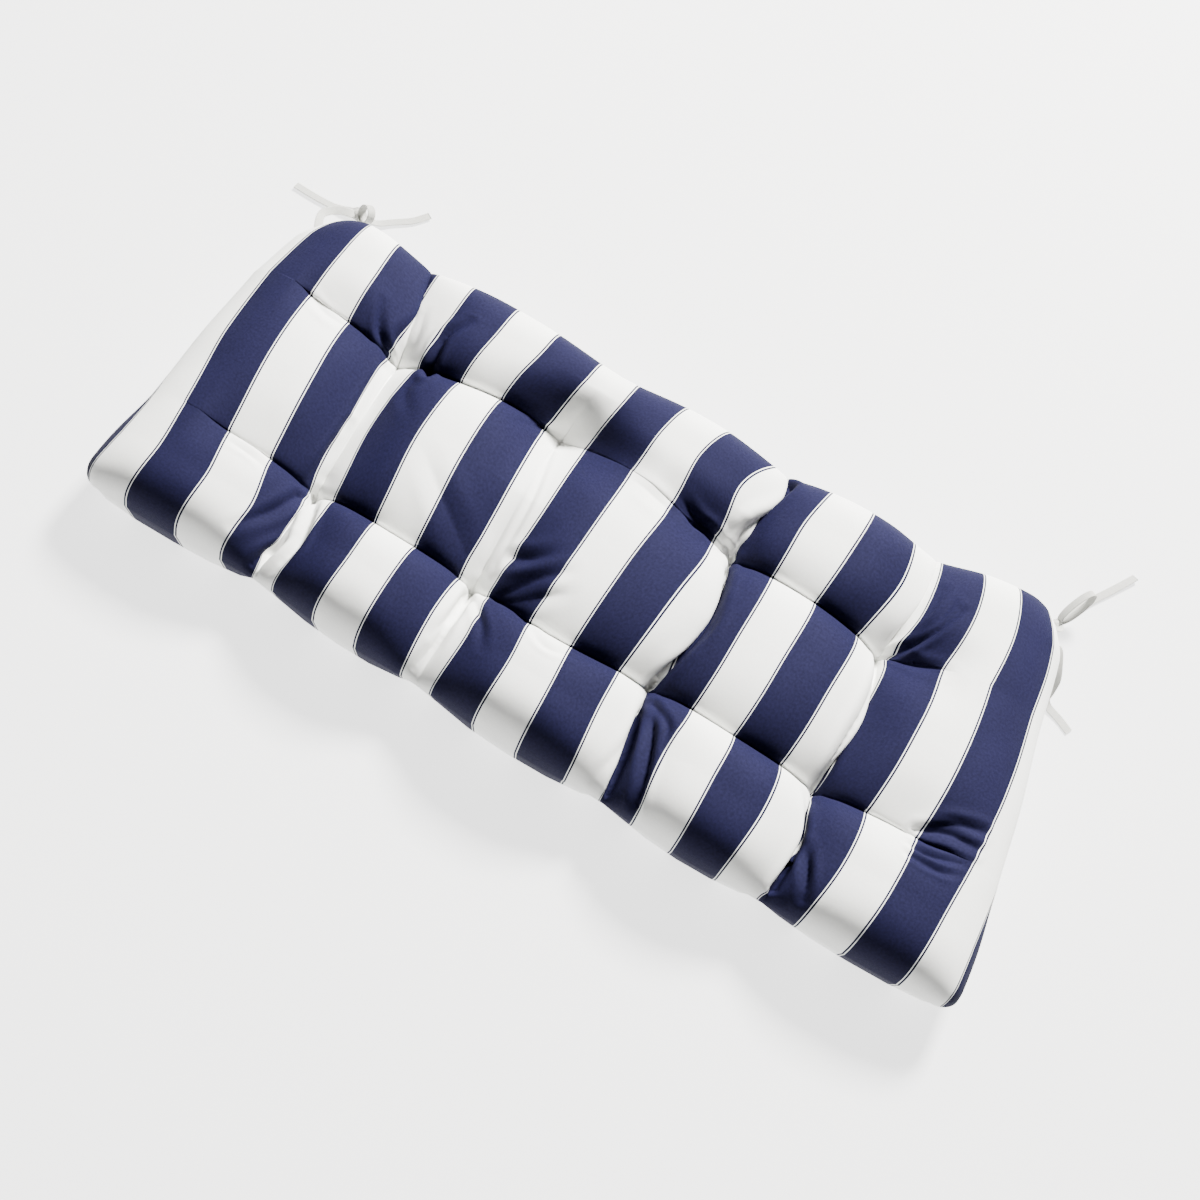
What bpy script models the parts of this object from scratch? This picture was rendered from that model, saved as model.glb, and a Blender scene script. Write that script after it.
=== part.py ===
"""Tufted bench cushion with fabric ties at its two back corners.

One filled cushion of two sewn panels, pulled in by two rows of four blind tufts, lies on its
back face. X runs along the bench from end to end, Y from the front edge to the back edge with
the ties, Z up from the seat. Metres throughout.
"""

import math

import bpy
import numpy as np
from mathutils import Vector

# ---------------------------------------------------------------- driving sizes
HALF_LENGTH = 0.564  # middle of the cushion to its widest point, at the front corners
HALF_DEPTH = 0.2505  # middle of the cushion to its furthest front or back seam
SEAM_HEIGHT = 0.050  # the seam that joins the two panels, above the seat
CROWN_HEIGHT = 0.121  # the highest lobes, above the seat
TUFT_DIP = 0.011  # how far a tuft is drawn below the seam's height
TUFT_REACH = 0.021  # how far the dip of a tuft spreads
TUFT_CORE = 0.006  # filling left between the two panels at a tuft
UNDERSIDE_PRESS = 0.030  # how far the lower lobes would stand below the seat if it weren't there
UNDERSIDE_SHARE = 0.82  # depth of the creases below, as a share of those above
LOBE_POWER = 2.3  # 2 makes a lobe's section along the bench an ellipse, more makes it boxier
LOBE_POWER_ACROSS = 2.9  # the same from the front to the back
FRONT_CORNER_RADIUS = 0.026
BACK_CORNER_RADIUS = 0.060
SEAM_BULGE = 0.0045  # how far the seam swells out between two creases
STEPS_ALONG_LOBE = 12  # faces across one lobe, end to end
STEPS_ACROSS_LOBE = 10  # faces across one lobe, front to back

TIE_WIDTH = 0.0105
TIE_THICKNESS = 0.0016
TIE_POINT_GAP = 0.006  # distance between two sections of a tie
KNOT_GAP = 0.0007  # what a strip keeps from the knot that holds it

# Where the crease lines cross, as shares of HALF_LENGTH (x) and HALF_DEPTH (y).
# One row for each line that runs from front to back: left end, four lines of tufts, right end.
# name, x at the front seam, front tufts, back tufts, back seam, then y at the same four places
CREASE_NET = (
    ("left end", -1.00, -0.98, -0.97, -0.92, -0.90, -0.40, 0.40, 0.91),
    ("line 1", -0.59, -0.59, -0.61, -0.67, -0.89, -0.39, 0.40, 0.91),
    ("line 2", -0.21, -0.22, -0.24, -0.19, -0.93, -0.40, 0.50, 0.89),
    ("line 3", 0.22, 0.18, 0.19, 0.20, -0.96, -0.39, 0.38, 0.90),
    ("line 4", 0.58, 0.56, 0.55, 0.56, -0.98, -0.41, 0.34, 0.92),
    ("right end", 1.00, 0.97, 0.91, 0.86, -0.98, -0.40, 0.39, 1.00),
)

# How far a crease bows out halfway between two crossings, in metres to the right or the back.
# name, then each lobe that it runs past
LINE_BOWS = (
    ("line 1", 0.000, 0.002, 0.002),
    ("line 2", 0.000, 0.000, 0.000),
    ("line 3", 0.001, 0.003, 0.002),
    ("line 4", 0.004, 0.012, 0.004),
)
ROW_BOWS = (
    ("front row", -0.006, -0.004, -0.014, -0.004, -0.003),
    ("back row", -0.003, -0.004, -0.010, 0.000, 0.000),
)

# How deep each front-to-back crease is, 1 being as deep as the seam.
# name, front seam, front lobe, front tuft, middle lobe, back tuft, back lobe, back seam
LINE_CREASES = (
    ("line 1", 0.80, 0.70, 1.00, 0.66, 1.00, 0.62, 0.92),
    ("line 2", 0.75, 0.52, 1.00, 0.32, 0.90, 0.14, 0.20),
    ("line 3", 0.78, 0.78, 1.00, 0.94, 1.00, 0.94, 0.95),
    ("line 4", 0.74, 0.82, 1.00, 0.84, 1.00, 0.60, 0.72),
)

# How sharp they are at the same places, from 0 for a round valley to 1 for a creased one.
LINE_KEENNESS = (
    ("line 1", 0.60, 0.45, 1.00, 0.10, 1.00, 0.35, 0.90),
    ("line 2", 0.40, 0.30, 1.00, 0.00, 0.60, 0.00, 0.20),
    ("line 3", 0.60, 0.80, 1.00, 1.00, 1.00, 1.00, 1.00),
    ("line 4", 0.60, 0.90, 1.00, 0.80, 1.00, 0.50, 0.60),
)

# How deep each crease along the cushion is, 1 being as deep as the seam.
# name, left end, then each lobe's middle and the tuft after it, right end. Under 0 is level.
ROW_CREASES = (
    ("front row", -0.90, 0.26, 1.00, 0.94, 1.00, 0.96, 1.00, 0.94, 1.00, 0.45, -0.60),
    ("back row", -0.90, 0.30, 1.00, 0.90, 0.90, 0.18, 1.00, 0.80, 1.00, 0.04, -0.60),
)

# How sharp they are at the same places.
ROW_KEENNESS = (
    ("front row", 0.00, 0.60, 1.00, 1.00, 1.00, 1.00, 1.00, 1.00, 1.00, 0.70, 0.00),
    ("back row", 0.00, 0.60, 1.00, 1.00, 0.50, 0.00, 1.00, 1.00, 0.80, 0.00, 0.00),
)

# Height of each lobe's crown, as a share of CROWN_HEIGHT, from the left end to the right end.
LOBE_CROWNS = (
    ("front lobes", 0.90, 0.93, 0.96, 0.94, 0.92),
    ("middle lobes", 0.95, 0.97, 1.00, 0.98, 0.96),
    ("back lobes", 0.92, 0.94, 0.98, 0.96, 0.94),
)

# The start of every strap: how far out of the seam, and its roll in degrees.
STRAP_START = ((0.0005, 0), (0.0060, 8))

# Where each strap leaves the seam, in lobes from the left end and from the front.
STRAP_ROOTS = {
    "tie_left_strap": (0.0, 2.86),
    "tie_right_strap": (5.0, 3.0),
    "tie_right_side_strap": (5.0, 2.80),
}

# The knot that holds a strip, and which of its ends: 0 is its first point, -1 its last.
KNOT_ENDS = {
    "tie_left_strap": ("tie_left_knot", -1),
    "tie_left_tail_out": ("tie_left_knot", 0),
    "tie_left_tail_in": ("tie_left_knot", 0),
    "tie_right_strap": ("tie_right_knot", -1),
    "tie_right_tail_back": ("tie_right_knot", 0),
}

# Each tie as points of its middle line: x, y, z in metres and how far the ribbon is rolled
# over, in degrees, where 0 lies flat. x and y are counted from the middle of its rounded
# back corner. A strap starts at its root on the seam, and a tail at a knot.
TIE_PATHS = {
    "tie_left_strap": (
        (-0.0293, 0.0170, 0.0445, -25),
        (-0.0265, 0.0336, 0.0370, -45),
        (-0.0182, 0.0487, 0.0265, -45),
        (-0.0094, 0.0580, 0.0165, -25),
    ),
    "tie_left_tail_out": (
        (-0.0142, 0.0670, 0.0085, -10),
        (-0.0253, 0.0645, 0.0050, -14),
        (-0.0409, 0.0620, 0.0026, -12),
        (-0.0664, 0.0613, 0.0022, -10),
        (-0.0917, 0.0622, 0.0022, -10),
    ),
    "tie_left_tail_in": (
        (0.0081, 0.0675, 0.0085, 16),
        (0.0161, 0.0690, 0.0060, 16),
        (0.0231, 0.0738, 0.0036, 14),
        (0.0359, 0.0859, 0.0024, 12),
        (0.0540, 0.1015, 0.0022, 10),
        (0.0675, 0.1202, 0.0022, 10),
    ),
    "tie_right_strap": (
        (0.0150, 0.0093, 0.0440, 30),
        (0.0165, 0.0180, 0.0330, 40),
        (0.0150, 0.0240, 0.0200, 30),
    ),
    "tie_right_tail_back": (
        (0.0175, 0.0420, 0.0048, -10),
        (0.0240, 0.0600, 0.0028, -4),
        (0.0409, 0.0910, 0.0024, 5),
        (0.0574, 0.1181, 0.0024, 12),
        (0.0767, 0.1516, 0.0032, 24),
    ),
    "tie_right_side_strap": (
        (0.0354, -0.0321, 0.0380, 5),
        (0.0416, -0.0414, 0.0280, 10),
        (0.0427, -0.0512, 0.0180, 10),
        (0.0430, -0.0603, 0.0090, 5),
        (0.0507, -0.0660, 0.0030, 0),
        (0.0682, -0.0722, 0.0014, 0),
        (0.0853, -0.0805, 0.0014, 0),
    ),
}

# Knots, each a ribbon pulled tight around the others, on the same corners.
# x, y, z of the middle, radii along X, Y and Z, turn about Z in degrees
KNOTS = {
    "tie_left_knot": (-0.0036, 0.0666, 0.0088, 0.0095, 0.0085, 0.0084, 20),
    "tie_right_knot": (0.0140, 0.0320, 0.0082, 0.0070, 0.0082, 0.0078, -20),
}

# Loops of ribbon left standing in the knots. heading and rise say, in degrees, which way the
# loop leaves its knot: heading from X towards Y, rise up from level.
# knot, half length, half width, heading, rise, lean of the ring about its own length
LOOPS = {
    "tie_left_loop": ("tie_left_knot", 0.0138, 0.0108, -20, 52, -35),
    "tie_right_loop": ("tie_right_knot", 0.0260, 0.0080, 66, 36, -35),
}
LOOP_STEPS = 28

NAVY = (0.050, 0.055, 0.155, 1.0)
WHITE = (0.86, 0.86, 0.83, 1.0)


# ---------------------------------------------------------------- numbers and curves
def smooth_through(values, places):
    """Catmull-Rom curve through values that stand at 0, 1, 2 and so on."""
    values = np.asarray(values, float)
    first = 2.0 * values[0] - values[1]
    last = 2.0 * values[-1] - values[-2]
    padded = np.concatenate([[first], values, [last]])
    cell = np.clip(np.floor(places).astype(int), 0, len(values) - 2)
    t = places - cell
    before, start, end, after = (padded[cell + k] for k in range(4))
    slope_in = 0.5 * (end - before)
    slope_out = 0.5 * (after - start)
    return (
        (2 * t**3 - 3 * t**2 + 1) * start
        + (t**3 - 2 * t**2 + t) * slope_in
        + (3 * t**2 - 2 * t**3) * end
        + (t**3 - t**2) * slope_out
    )


def net_value(rows, along, across):
    """Value of a net of crossings at a place: rows run along the cushion, one for each seam."""
    lines = np.stack([smooth_through(row, along) for row in rows])
    cell = np.clip(np.floor(across).astype(int), 0, len(rows) - 2)
    t = across - cell
    index = np.indices(along.shape)
    start = lines[(cell, *index)]
    end = lines[(cell + 1, *index)]
    return start + (end - start) * t


def along_crease(creases, place_across, place_along, count, at_ends):
    """What a table says of the crease nearest to a place. Between a lobe's middle and a crossing
    it follows the power 1.5 of the distance, so it changes most at a tuft."""
    places = 2 * count + 1
    half = place_along * 2.0
    cell = np.clip(np.floor(half).astype(int), 0, 2 * count - 1)
    share = half - cell
    even = cell % 2 == 0
    from_middle = np.where(even, 1.0 - share, share) ** 1.5
    middle = np.where(even, cell + 1, cell)
    end = np.where(even, cell, cell + 1)
    nearest = np.clip(np.rint(place_across).astype(int), 0, len(creases) + 1)
    found = [np.full(place_along.shape, at_ends)]
    for row in creases:
        values = np.array(row[1 : places + 1], float)
        found.append(values[middle] + (values[end] - values[middle]) * from_middle)
    found.append(found[0])
    return np.choose(nearest, found)


def lobe_fall(share, depth, keen, power):
    """Fall of the cloth on the way over a lobe, from an elliptic section to a rounded valley."""
    away = np.abs(1.0 - 2.0 * share)
    sharp = 1.0 - np.clip(1.0 - away**power, 0.0, 1.0) ** (1.0 / power)
    soft = np.cos(math.pi * share) ** 4
    return depth * (keen * sharp + (1.0 - keen) * soft)


# ---------------------------------------------------------------- the cushion
def bow(rows, along, across, count):
    """Sideways bow of the creases at a place, none at the crossings."""
    cell = np.clip(np.floor(along).astype(int), 0, count - 1)
    straight = np.zeros(count)
    table = np.array([straight, *[row[1:] for row in rows], straight])
    by_cell = [smooth_through(table[:, k], across) for k in range(count)]
    return np.choose(cell, by_cell) * np.sin(math.pi * (along - cell))


def plan_of(along, across):
    """Plan position of a place on the cushion, before its corners are rounded."""
    x_rows = [[line[1 + k] * HALF_LENGTH for line in CREASE_NET] for k in range(4)]
    y_rows = [[line[5 + k] * HALF_DEPTH for line in CREASE_NET] for k in range(4)]
    x = net_value(x_rows, along, across) + bow(LINE_BOWS, across, along, 3)
    y = net_value(y_rows, along, across) + bow(ROW_BOWS, along, across, 5)
    swell_along = np.sin(math.pi * (along % 1.0)) ** 2
    swell_across = np.sin(math.pi * (across % 1.0)) ** 2
    front_share = np.clip(1.0 - across, 0.0, 1.0)
    back_share = np.clip(across - 2.0, 0.0, 1.0)
    left_share = np.clip(1.0 - along, 0.0, 1.0)
    right_share = np.clip(along - 4.0, 0.0, 1.0)
    inner = np.where((along > 1.0) & (along < 4.0), 1.0, 0.6)
    y = y + SEAM_BULGE * swell_along * inner * (back_share - front_share)
    x = x + SEAM_BULGE * swell_across * 0.5 * (right_share - left_share)
    return x, y


def round_corners(x, y):
    """Draw each corner square of the plan in to a quarter of a disc."""
    corners = (
        (CREASE_NET[0][1], CREASE_NET[0][5], FRONT_CORNER_RADIUS),
        (CREASE_NET[-1][1], CREASE_NET[-1][5], FRONT_CORNER_RADIUS),
        (CREASE_NET[0][4], CREASE_NET[0][8], BACK_CORNER_RADIUS),
        (CREASE_NET[-1][4], CREASE_NET[-1][8], BACK_CORNER_RADIUS),
    )
    for share_x, share_y, radius in corners:
        side_x = math.copysign(1.0, share_x)
        side_y = math.copysign(1.0, share_y)
        centre_x = share_x * HALF_LENGTH - side_x * radius
        centre_y = share_y * HALF_DEPTH - side_y * radius
        a = (x - centre_x) * side_x / radius
        b = (y - centre_y) * side_y / radius
        inside = (a > 0.0) & (b > 0.0)
        a_round = a * np.sqrt(1.0 - np.clip(b, 0.0, 1.0) ** 2 / 2.0)
        b_round = b * np.sqrt(1.0 - np.clip(a, 0.0, 1.0) ** 2 / 2.0)
        x = np.where(inside, centre_x + side_x * radius * a_round, x)
        y = np.where(inside, centre_y + side_y * radius * b_round, y)
    return x, y


def seam_plan(along, across):
    """Finished plan position of a place, with the cushion's middle at the origin."""
    grid_x, grid_y = round_corners(*plan_of(*lobe_grid()))
    middle_x = (grid_x.max() + grid_x.min()) / 2.0
    middle_y = (grid_y.max() + grid_y.min()) / 2.0
    x, y = round_corners(*plan_of(np.atleast_1d(along), np.atleast_1d(across)))
    return x - middle_x, y - middle_y


def lobe_rise(along, across, share):
    """How far the cloth has risen from the seam to the crowns, 0 to 1."""
    line_depth = along_crease(LINE_CREASES, along, across, 3, 1.0)
    row_depth = np.maximum(along_crease(ROW_CREASES, across, along, 5, 1.0), 0.0)
    line_keen = along_crease(LINE_KEENNESS, along, across, 3, 1.0)
    row_keen = along_crease(ROW_KEENNESS, across, along, 5, 1.0)
    at_end = (along < 0.5) | (along > 4.5)
    at_side = (across < 0.5) | (across > 2.5)
    line_depth = np.where(at_end, 1.0, line_depth * share)
    row_depth = np.where(at_side, 1.0, row_depth * share)
    rise_along = 1.0 - lobe_fall(along % 1.0, line_depth, line_keen, LOBE_POWER)
    rise_across = 1.0 - lobe_fall(across % 1.0, row_depth, row_keen, LOBE_POWER_ACROSS)
    return rise_along * rise_across


def tuft_dimple(x, y):
    """Dip of the cloth around the eight tufts, 1 at a tuft."""
    dip = np.zeros_like(x)
    for line in CREASE_NET[1:-1]:
        for share_x, share_y in ((line[2], line[6]), (line[3], line[7])):
            away = np.hypot(x - share_x * HALF_LENGTH, y - share_y * HALF_DEPTH)
            dip = np.maximum(dip, np.exp(-((away / TUFT_REACH) ** 2)))
    return dip


def lobe_grid():
    """Places where the faces meet, closer together beside each crease."""
    def stations(cells, steps):
        share = (1.0 - np.cos(np.linspace(0.0, math.pi, steps + 1))) / 2.0
        whole = [cell + share[:-1] for cell in range(cells)]
        return np.concatenate([*whole, [float(cells)]])

    along = stations(5, STEPS_ALONG_LOBE)
    across = stations(3, STEPS_ACROSS_LOBE)
    return np.meshgrid(along, across, indexing="ij")


def cushion_surfaces():
    """Points of the upper and the lower panel on the same grid of places."""
    along, across = lobe_grid()
    x, y = seam_plan(along, across)
    crowns = np.stack(
        [np.interp(along, np.arange(5) + 0.5, row[1:]) for row in LOBE_CROWNS]
    )
    middle = np.clip(across - 0.5, 0.0, 2.0)
    cell = np.minimum(middle.astype(int), 1)
    index = np.indices(along.shape)
    start = crowns[(cell, *index)]
    crown = start + (crowns[(cell + 1, *index)] - start) * (middle - cell)
    crown = crown * CROWN_HEIGHT
    dimple = tuft_dimple(x, y)
    top = SEAM_HEIGHT + (crown - SEAM_HEIGHT) * lobe_rise(along, across, 1.0)
    top = top - TUFT_DIP * dimple
    below = lobe_rise(along, across, UNDERSIDE_SHARE)
    low = SEAM_HEIGHT - (SEAM_HEIGHT + UNDERSIDE_PRESS) * below
    low = np.clip(low, 0.0, top - TUFT_CORE)
    edge = (along == 0.0) | (along == 5.0) | (across == 0.0) | (across == 3.0)
    top = np.where(edge, SEAM_HEIGHT, top)
    low = np.where(edge, SEAM_HEIGHT, low)
    return np.stack([x, y, top], -1), np.stack([x, y, low], -1), edge


def cushion_mesh():
    """Both panels, joined along the seam that they share."""
    upper, lower, edge = cushion_surfaces()
    count_along, count_across = edge.shape
    upper_index = np.arange(edge.size).reshape(edge.shape)
    lower_index = np.where(edge, upper_index, 0)
    lower_index[~edge] = edge.size + np.arange(np.count_nonzero(~edge))
    points = np.concatenate([upper.reshape(-1, 3), lower[~edge]])
    faces = []
    for i in range(count_along - 1):
        for j in range(count_across - 1):
            corners = ((i, j), (i + 1, j), (i + 1, j + 1), (i, j + 1))
            faces.append([int(upper_index[c]) for c in corners])
            faces.append([int(lower_index[c]) for c in reversed(corners)])
    mesh = bpy.data.meshes.new("cushion")
    mesh.from_pydata(points.tolist(), [], faces)
    mesh.validate()
    return mesh


# ---------------------------------------------------------------- the ties
def back_corner(side):
    """The middle of a rounded back corner, on the seam's line and at the seat's height."""
    x, y = seam_plan(0.0 if side == "left" else 5.0, 3.0)
    return np.array((x.item(), y.item(), 0.0))


def strap_root(place):
    """The first points of a strap, which leaves the seam square to it."""
    along, across = place
    nearby = 0.02
    xs, ys = seam_plan(np.full(2, along), np.array((across - nearby, across)))
    heading = np.array((xs[1] - xs[0], ys[1] - ys[0], 0.0))
    outward = np.cross(heading, (0.0, 0.0, 1.0))
    if outward[0] * xs[1] < 0.0:
        outward = -outward
    outward /= np.linalg.norm(outward)
    seam = np.array((xs[1], ys[1], SEAM_HEIGHT))
    return [[*(seam + outward * reach), roll] for reach, roll in STRAP_START]


def even_path(points):
    """A smooth line through the points, with a section every TIE_POINT_GAP."""
    points = np.asarray(points, float)
    fine = np.linspace(0.0, len(points) - 1.0, 40 * len(points))
    line = np.stack([smooth_through(points[:, k], fine) for k in range(points.shape[1])], -1)
    steps = np.linalg.norm(np.diff(line[:, :3], axis=0), axis=1)
    travelled = np.concatenate([[0.0], np.cumsum(steps)])
    count = max(3, round(travelled[-1] / TIE_POINT_GAP) + 1)
    wanted = np.linspace(0.0, travelled[-1], count)
    return np.stack([np.interp(wanted, travelled, column) for column in line.T], -1)


def ribbon_sections(line, roll_degrees):
    """Four corners of the ribbon at each point of its middle line."""
    tangent = np.gradient(line, axis=0)
    tangent /= np.linalg.norm(tangent, axis=1)[:, None]
    level = np.cross(tangent, (0.0, 0.0, 1.0))
    level /= np.linalg.norm(level, axis=1)[:, None]
    upright = np.cross(level, tangent)
    roll = np.radians(roll_degrees)[:, None]
    wide = level * np.cos(roll) + upright * np.sin(roll)
    thick = np.cross(wide, tangent)
    half_wide = wide * TIE_WIDTH / 2.0
    half_thick = thick * TIE_THICKNESS / 2.0
    return np.stack(
        [
            line - half_wide - half_thick,
            line + half_wide - half_thick,
            line + half_wide + half_thick,
            line - half_wide + half_thick,
        ],
        axis=1,
    )


def ribbon_object(name, sections, closed):
    """A strip of cloth through its sections, capped at both ends unless it is a loop."""
    count = len(sections)
    points = sections.reshape(-1, 3)
    faces = []
    for k in range(count if closed else count - 1):
        here, there = 4 * k, 4 * ((k + 1) % count)
        for corner in range(4):
            after = (corner + 1) % 4
            faces.append((here + corner, there + corner, there + after, here + after))
    if not closed:
        faces.append((0, 1, 2, 3))
        last = 4 * (count - 1)
        faces.append((last + 3, last + 2, last + 1, last))
    mesh = bpy.data.meshes.new(name)
    mesh.from_pydata(points.tolist(), [], faces)
    mesh.validate()
    return add_object(name, mesh, "tie cloth", WHITE)


def side_of(name):
    """Which back corner a piece belongs to."""
    return "left" if "left" in name else "right"


def knot_middle(name):
    """The middle of a knot."""
    return back_corner(side_of(name)) + KNOTS[name][:3]


def knot_face(name, towards):
    """The point just outside a knot that faces another point."""
    radii = np.array(KNOTS[name][3:6])
    turn = math.radians(KNOTS[name][6])
    heading = towards - knot_middle(name)
    heading /= np.linalg.norm(heading)
    along = heading[0] * math.cos(turn) + heading[1] * math.sin(turn)
    across = heading[1] * math.cos(turn) - heading[0] * math.sin(turn)
    radius = 1.0 / np.linalg.norm(np.array((along, across, heading[2])) / radii)
    return knot_middle(name) + heading * (radius + KNOT_GAP)


def free_tie(name, rows):
    """A strip of a tie along its own path: seam to knot, knot to free end, or seam to free end."""
    corner = back_corner(side_of(name))
    points = [[*(corner + row[:3]), row[3]] for row in rows]
    if name in STRAP_ROOTS:
        points = strap_root(STRAP_ROOTS[name]) + points
    if name in KNOT_ENDS:
        knot_name, end = KNOT_ENDS[name]
        points[end][:3] = knot_face(knot_name, np.array(points[end][:3]))
    path = even_path(points)
    return ribbon_object(name, ribbon_sections(path[:, :3], path[:, 3]), closed=False)


def knot_loop(name, knot_name, half_length, half_width, heading, rise, lean):
    """A ring of ribbon that leaves its knot, as an ellipse."""
    turn, climb, tilt = (math.radians(angle) for angle in (heading, rise, lean))
    ahead = np.array(
        (math.cos(turn) * math.cos(climb), math.sin(turn) * math.cos(climb), math.sin(climb))
    )
    level = np.array((-math.sin(turn), math.cos(turn), 0.0))
    upright = np.cross(ahead, level)
    width_way = level * math.cos(tilt) + upright * math.sin(tilt)
    ring_way = np.cross(ahead, width_way)
    root = knot_face(knot_name, knot_middle(knot_name) + ahead)
    centre = root + ahead * (half_length + TIE_THICKNESS / 2.0)
    angle = np.linspace(0.0, 2.0 * math.pi, LOOP_STEPS, endpoint=False)[:, None]
    line = centre + ahead * half_length * np.cos(angle) + ring_way * half_width * np.sin(angle)
    outward = ahead * half_width * np.cos(angle) + ring_way * half_length * np.sin(angle)
    outward /= np.linalg.norm(outward, axis=1)[:, None]
    half_wide = width_way * TIE_WIDTH / 2.0
    half_thick = outward * TIE_THICKNESS / 2.0
    sections = np.stack(
        [
            line - half_wide - half_thick,
            line + half_wide - half_thick,
            line + half_wide + half_thick,
            line - half_wide + half_thick,
        ],
        axis=1,
    )
    return ribbon_object(name, sections, closed=True)


def knot(name, radii, turn):
    """The lump where the ribbons are tied."""
    bpy.ops.mesh.primitive_uv_sphere_add(segments=16, ring_count=10, radius=1.0)
    ball = bpy.context.object
    for vertex in ball.data.vertices:
        vertex.co *= Vector(radii)
    ball.name = name
    ball.data.name = name
    ball.location = Vector(knot_middle(name))
    ball.rotation_euler.z = math.radians(turn)
    ball.data.materials.append(cloth_material("tie cloth", WHITE))
    ball.data.shade_smooth()
    return ball


# ---------------------------------------------------------------- objects and materials
def cloth_material(name, colour):
    """A woven cloth finish of one colour."""
    material = bpy.data.materials.get(name)
    if material is None:
        material = bpy.data.materials.new(name)
        material.use_nodes = True
        shader = material.node_tree.nodes["Principled BSDF"]
        shader.inputs["Base Color"].default_value = colour
        shader.inputs["Roughness"].default_value = 0.85
        shader.inputs["Metallic"].default_value = 0.0
    return material


def add_object(name, mesh, material_name, colour):
    """Put a mesh into the scene with its cloth, smooth but for its folds."""
    mesh.materials.append(cloth_material(material_name, colour))
    mesh.shade_smooth()
    mesh.set_sharp_from_angle(angle=math.radians(60.0))
    new_object = bpy.data.objects.new(name, mesh)
    bpy.context.scene.collection.objects.link(new_object)
    return new_object


def build():
    for old in list(bpy.data.objects):
        bpy.data.objects.remove(old, do_unlink=True)
    add_object("cushion", cushion_mesh(), "striped cushion cloth", NAVY)
    for name, rows in TIE_PATHS.items():
        free_tie(name, rows)
    for name, sizes in KNOTS.items():
        knot(name, sizes[3:6], sizes[6])
    for name, row in LOOPS.items():
        knot_loop(name, *row)


build()
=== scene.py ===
"""Tufted bench cushion with fabric ties: the cloth, folds, seams and finishes that dress it.

X runs along the bench, Y from the front edge to the back edge with the ties, Z up. Metres.
"""

import math

import bpy
import numpy as np
from bpy.props import FloatProperty, FloatVectorProperty, PointerProperty
from mathutils import Matrix, Vector


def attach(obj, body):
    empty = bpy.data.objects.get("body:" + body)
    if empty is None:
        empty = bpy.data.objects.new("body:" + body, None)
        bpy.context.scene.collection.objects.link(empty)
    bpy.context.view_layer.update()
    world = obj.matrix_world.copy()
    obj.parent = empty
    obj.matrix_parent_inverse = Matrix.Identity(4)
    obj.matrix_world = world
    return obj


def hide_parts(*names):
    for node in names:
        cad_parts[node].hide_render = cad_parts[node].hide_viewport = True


bl_info = {
    "name": "Tufted Bench Cushion",
    "version": (1, 0, 0),
    "blender": (4, 5, 0),
    "location": "3D View > Sidebar > Bench Cushion",
    "description": "Builds a striped, tufted bench cushion with fabric ties",
    "category": "Add Mesh",
}

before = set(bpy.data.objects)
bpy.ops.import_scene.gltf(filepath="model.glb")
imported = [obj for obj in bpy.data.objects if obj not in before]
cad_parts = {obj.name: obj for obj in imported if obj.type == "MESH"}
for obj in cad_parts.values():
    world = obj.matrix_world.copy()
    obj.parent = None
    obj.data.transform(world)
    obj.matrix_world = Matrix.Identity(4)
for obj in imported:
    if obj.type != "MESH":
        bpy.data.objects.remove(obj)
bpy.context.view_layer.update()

# ---------------------------------------------------------------- tables
LOBES_ALONG, LOBES_ACROSS = 5, 3

# Where the crease lines cross, as shares of half the length (x) and half the depth (y).
# name, x at the front seam, front tufts, back tufts, back seam, then y at the same four places
CREASE_NET = (
    ("left end", -1.00, -0.98, -0.97, -0.92, -0.90, -0.40, 0.40, 0.91),
    ("line 1", -0.59, -0.59, -0.61, -0.67, -0.89, -0.39, 0.40, 0.91),
    ("line 2", -0.21, -0.22, -0.24, -0.19, -0.93, -0.40, 0.50, 0.89),
    ("line 3", 0.22, 0.18, 0.19, 0.20, -0.96, -0.39, 0.38, 0.90),
    ("line 4", 0.58, 0.56, 0.55, 0.56, -0.98, -0.41, 0.34, 0.92),
    ("right end", 1.00, 0.97, 0.91, 0.86, -0.98, -0.40, 0.39, 1.00),
)

# How far a crease bows out halfway between two crossings, in metres to the right or the back.
# name, then each lobe that it runs past
LINE_BOWS = (
    ("line 1", 0.000, 0.002, 0.002),
    ("line 2", 0.000, 0.000, 0.000),
    ("line 3", 0.001, 0.003, 0.002),
    ("line 4", 0.004, 0.012, 0.004),
)
ROW_BOWS = (
    ("front row", -0.006, -0.004, -0.014, -0.004, -0.003),
    ("back row", -0.003, -0.004, -0.010, 0.000, 0.000),
)

# How deep each front-to-back crease is, 1 being as deep as the seam.
# name, front seam, front lobe, front tuft, middle lobe, back tuft, back lobe, back seam
LINE_CREASES = (
    ("line 1", 0.80, 0.70, 1.00, 0.66, 1.00, 0.62, 0.92),
    ("line 2", 0.75, 0.52, 1.00, 0.32, 0.90, 0.14, 0.20),
    ("line 3", 0.78, 0.78, 1.00, 0.94, 1.00, 0.94, 0.95),
    ("line 4", 0.74, 0.82, 1.00, 0.84, 1.00, 0.60, 0.72),
)

# How sharp they are at the same places, from 0 for a round valley to 1 for a creased one.
LINE_KEENNESS = (
    ("line 1", 0.60, 0.45, 1.00, 0.10, 1.00, 0.35, 0.90),
    ("line 2", 0.40, 0.30, 1.00, 0.00, 0.60, 0.00, 0.20),
    ("line 3", 0.60, 0.80, 1.00, 1.00, 1.00, 1.00, 1.00),
    ("line 4", 0.60, 0.90, 1.00, 0.80, 1.00, 0.50, 0.60),
)

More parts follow.
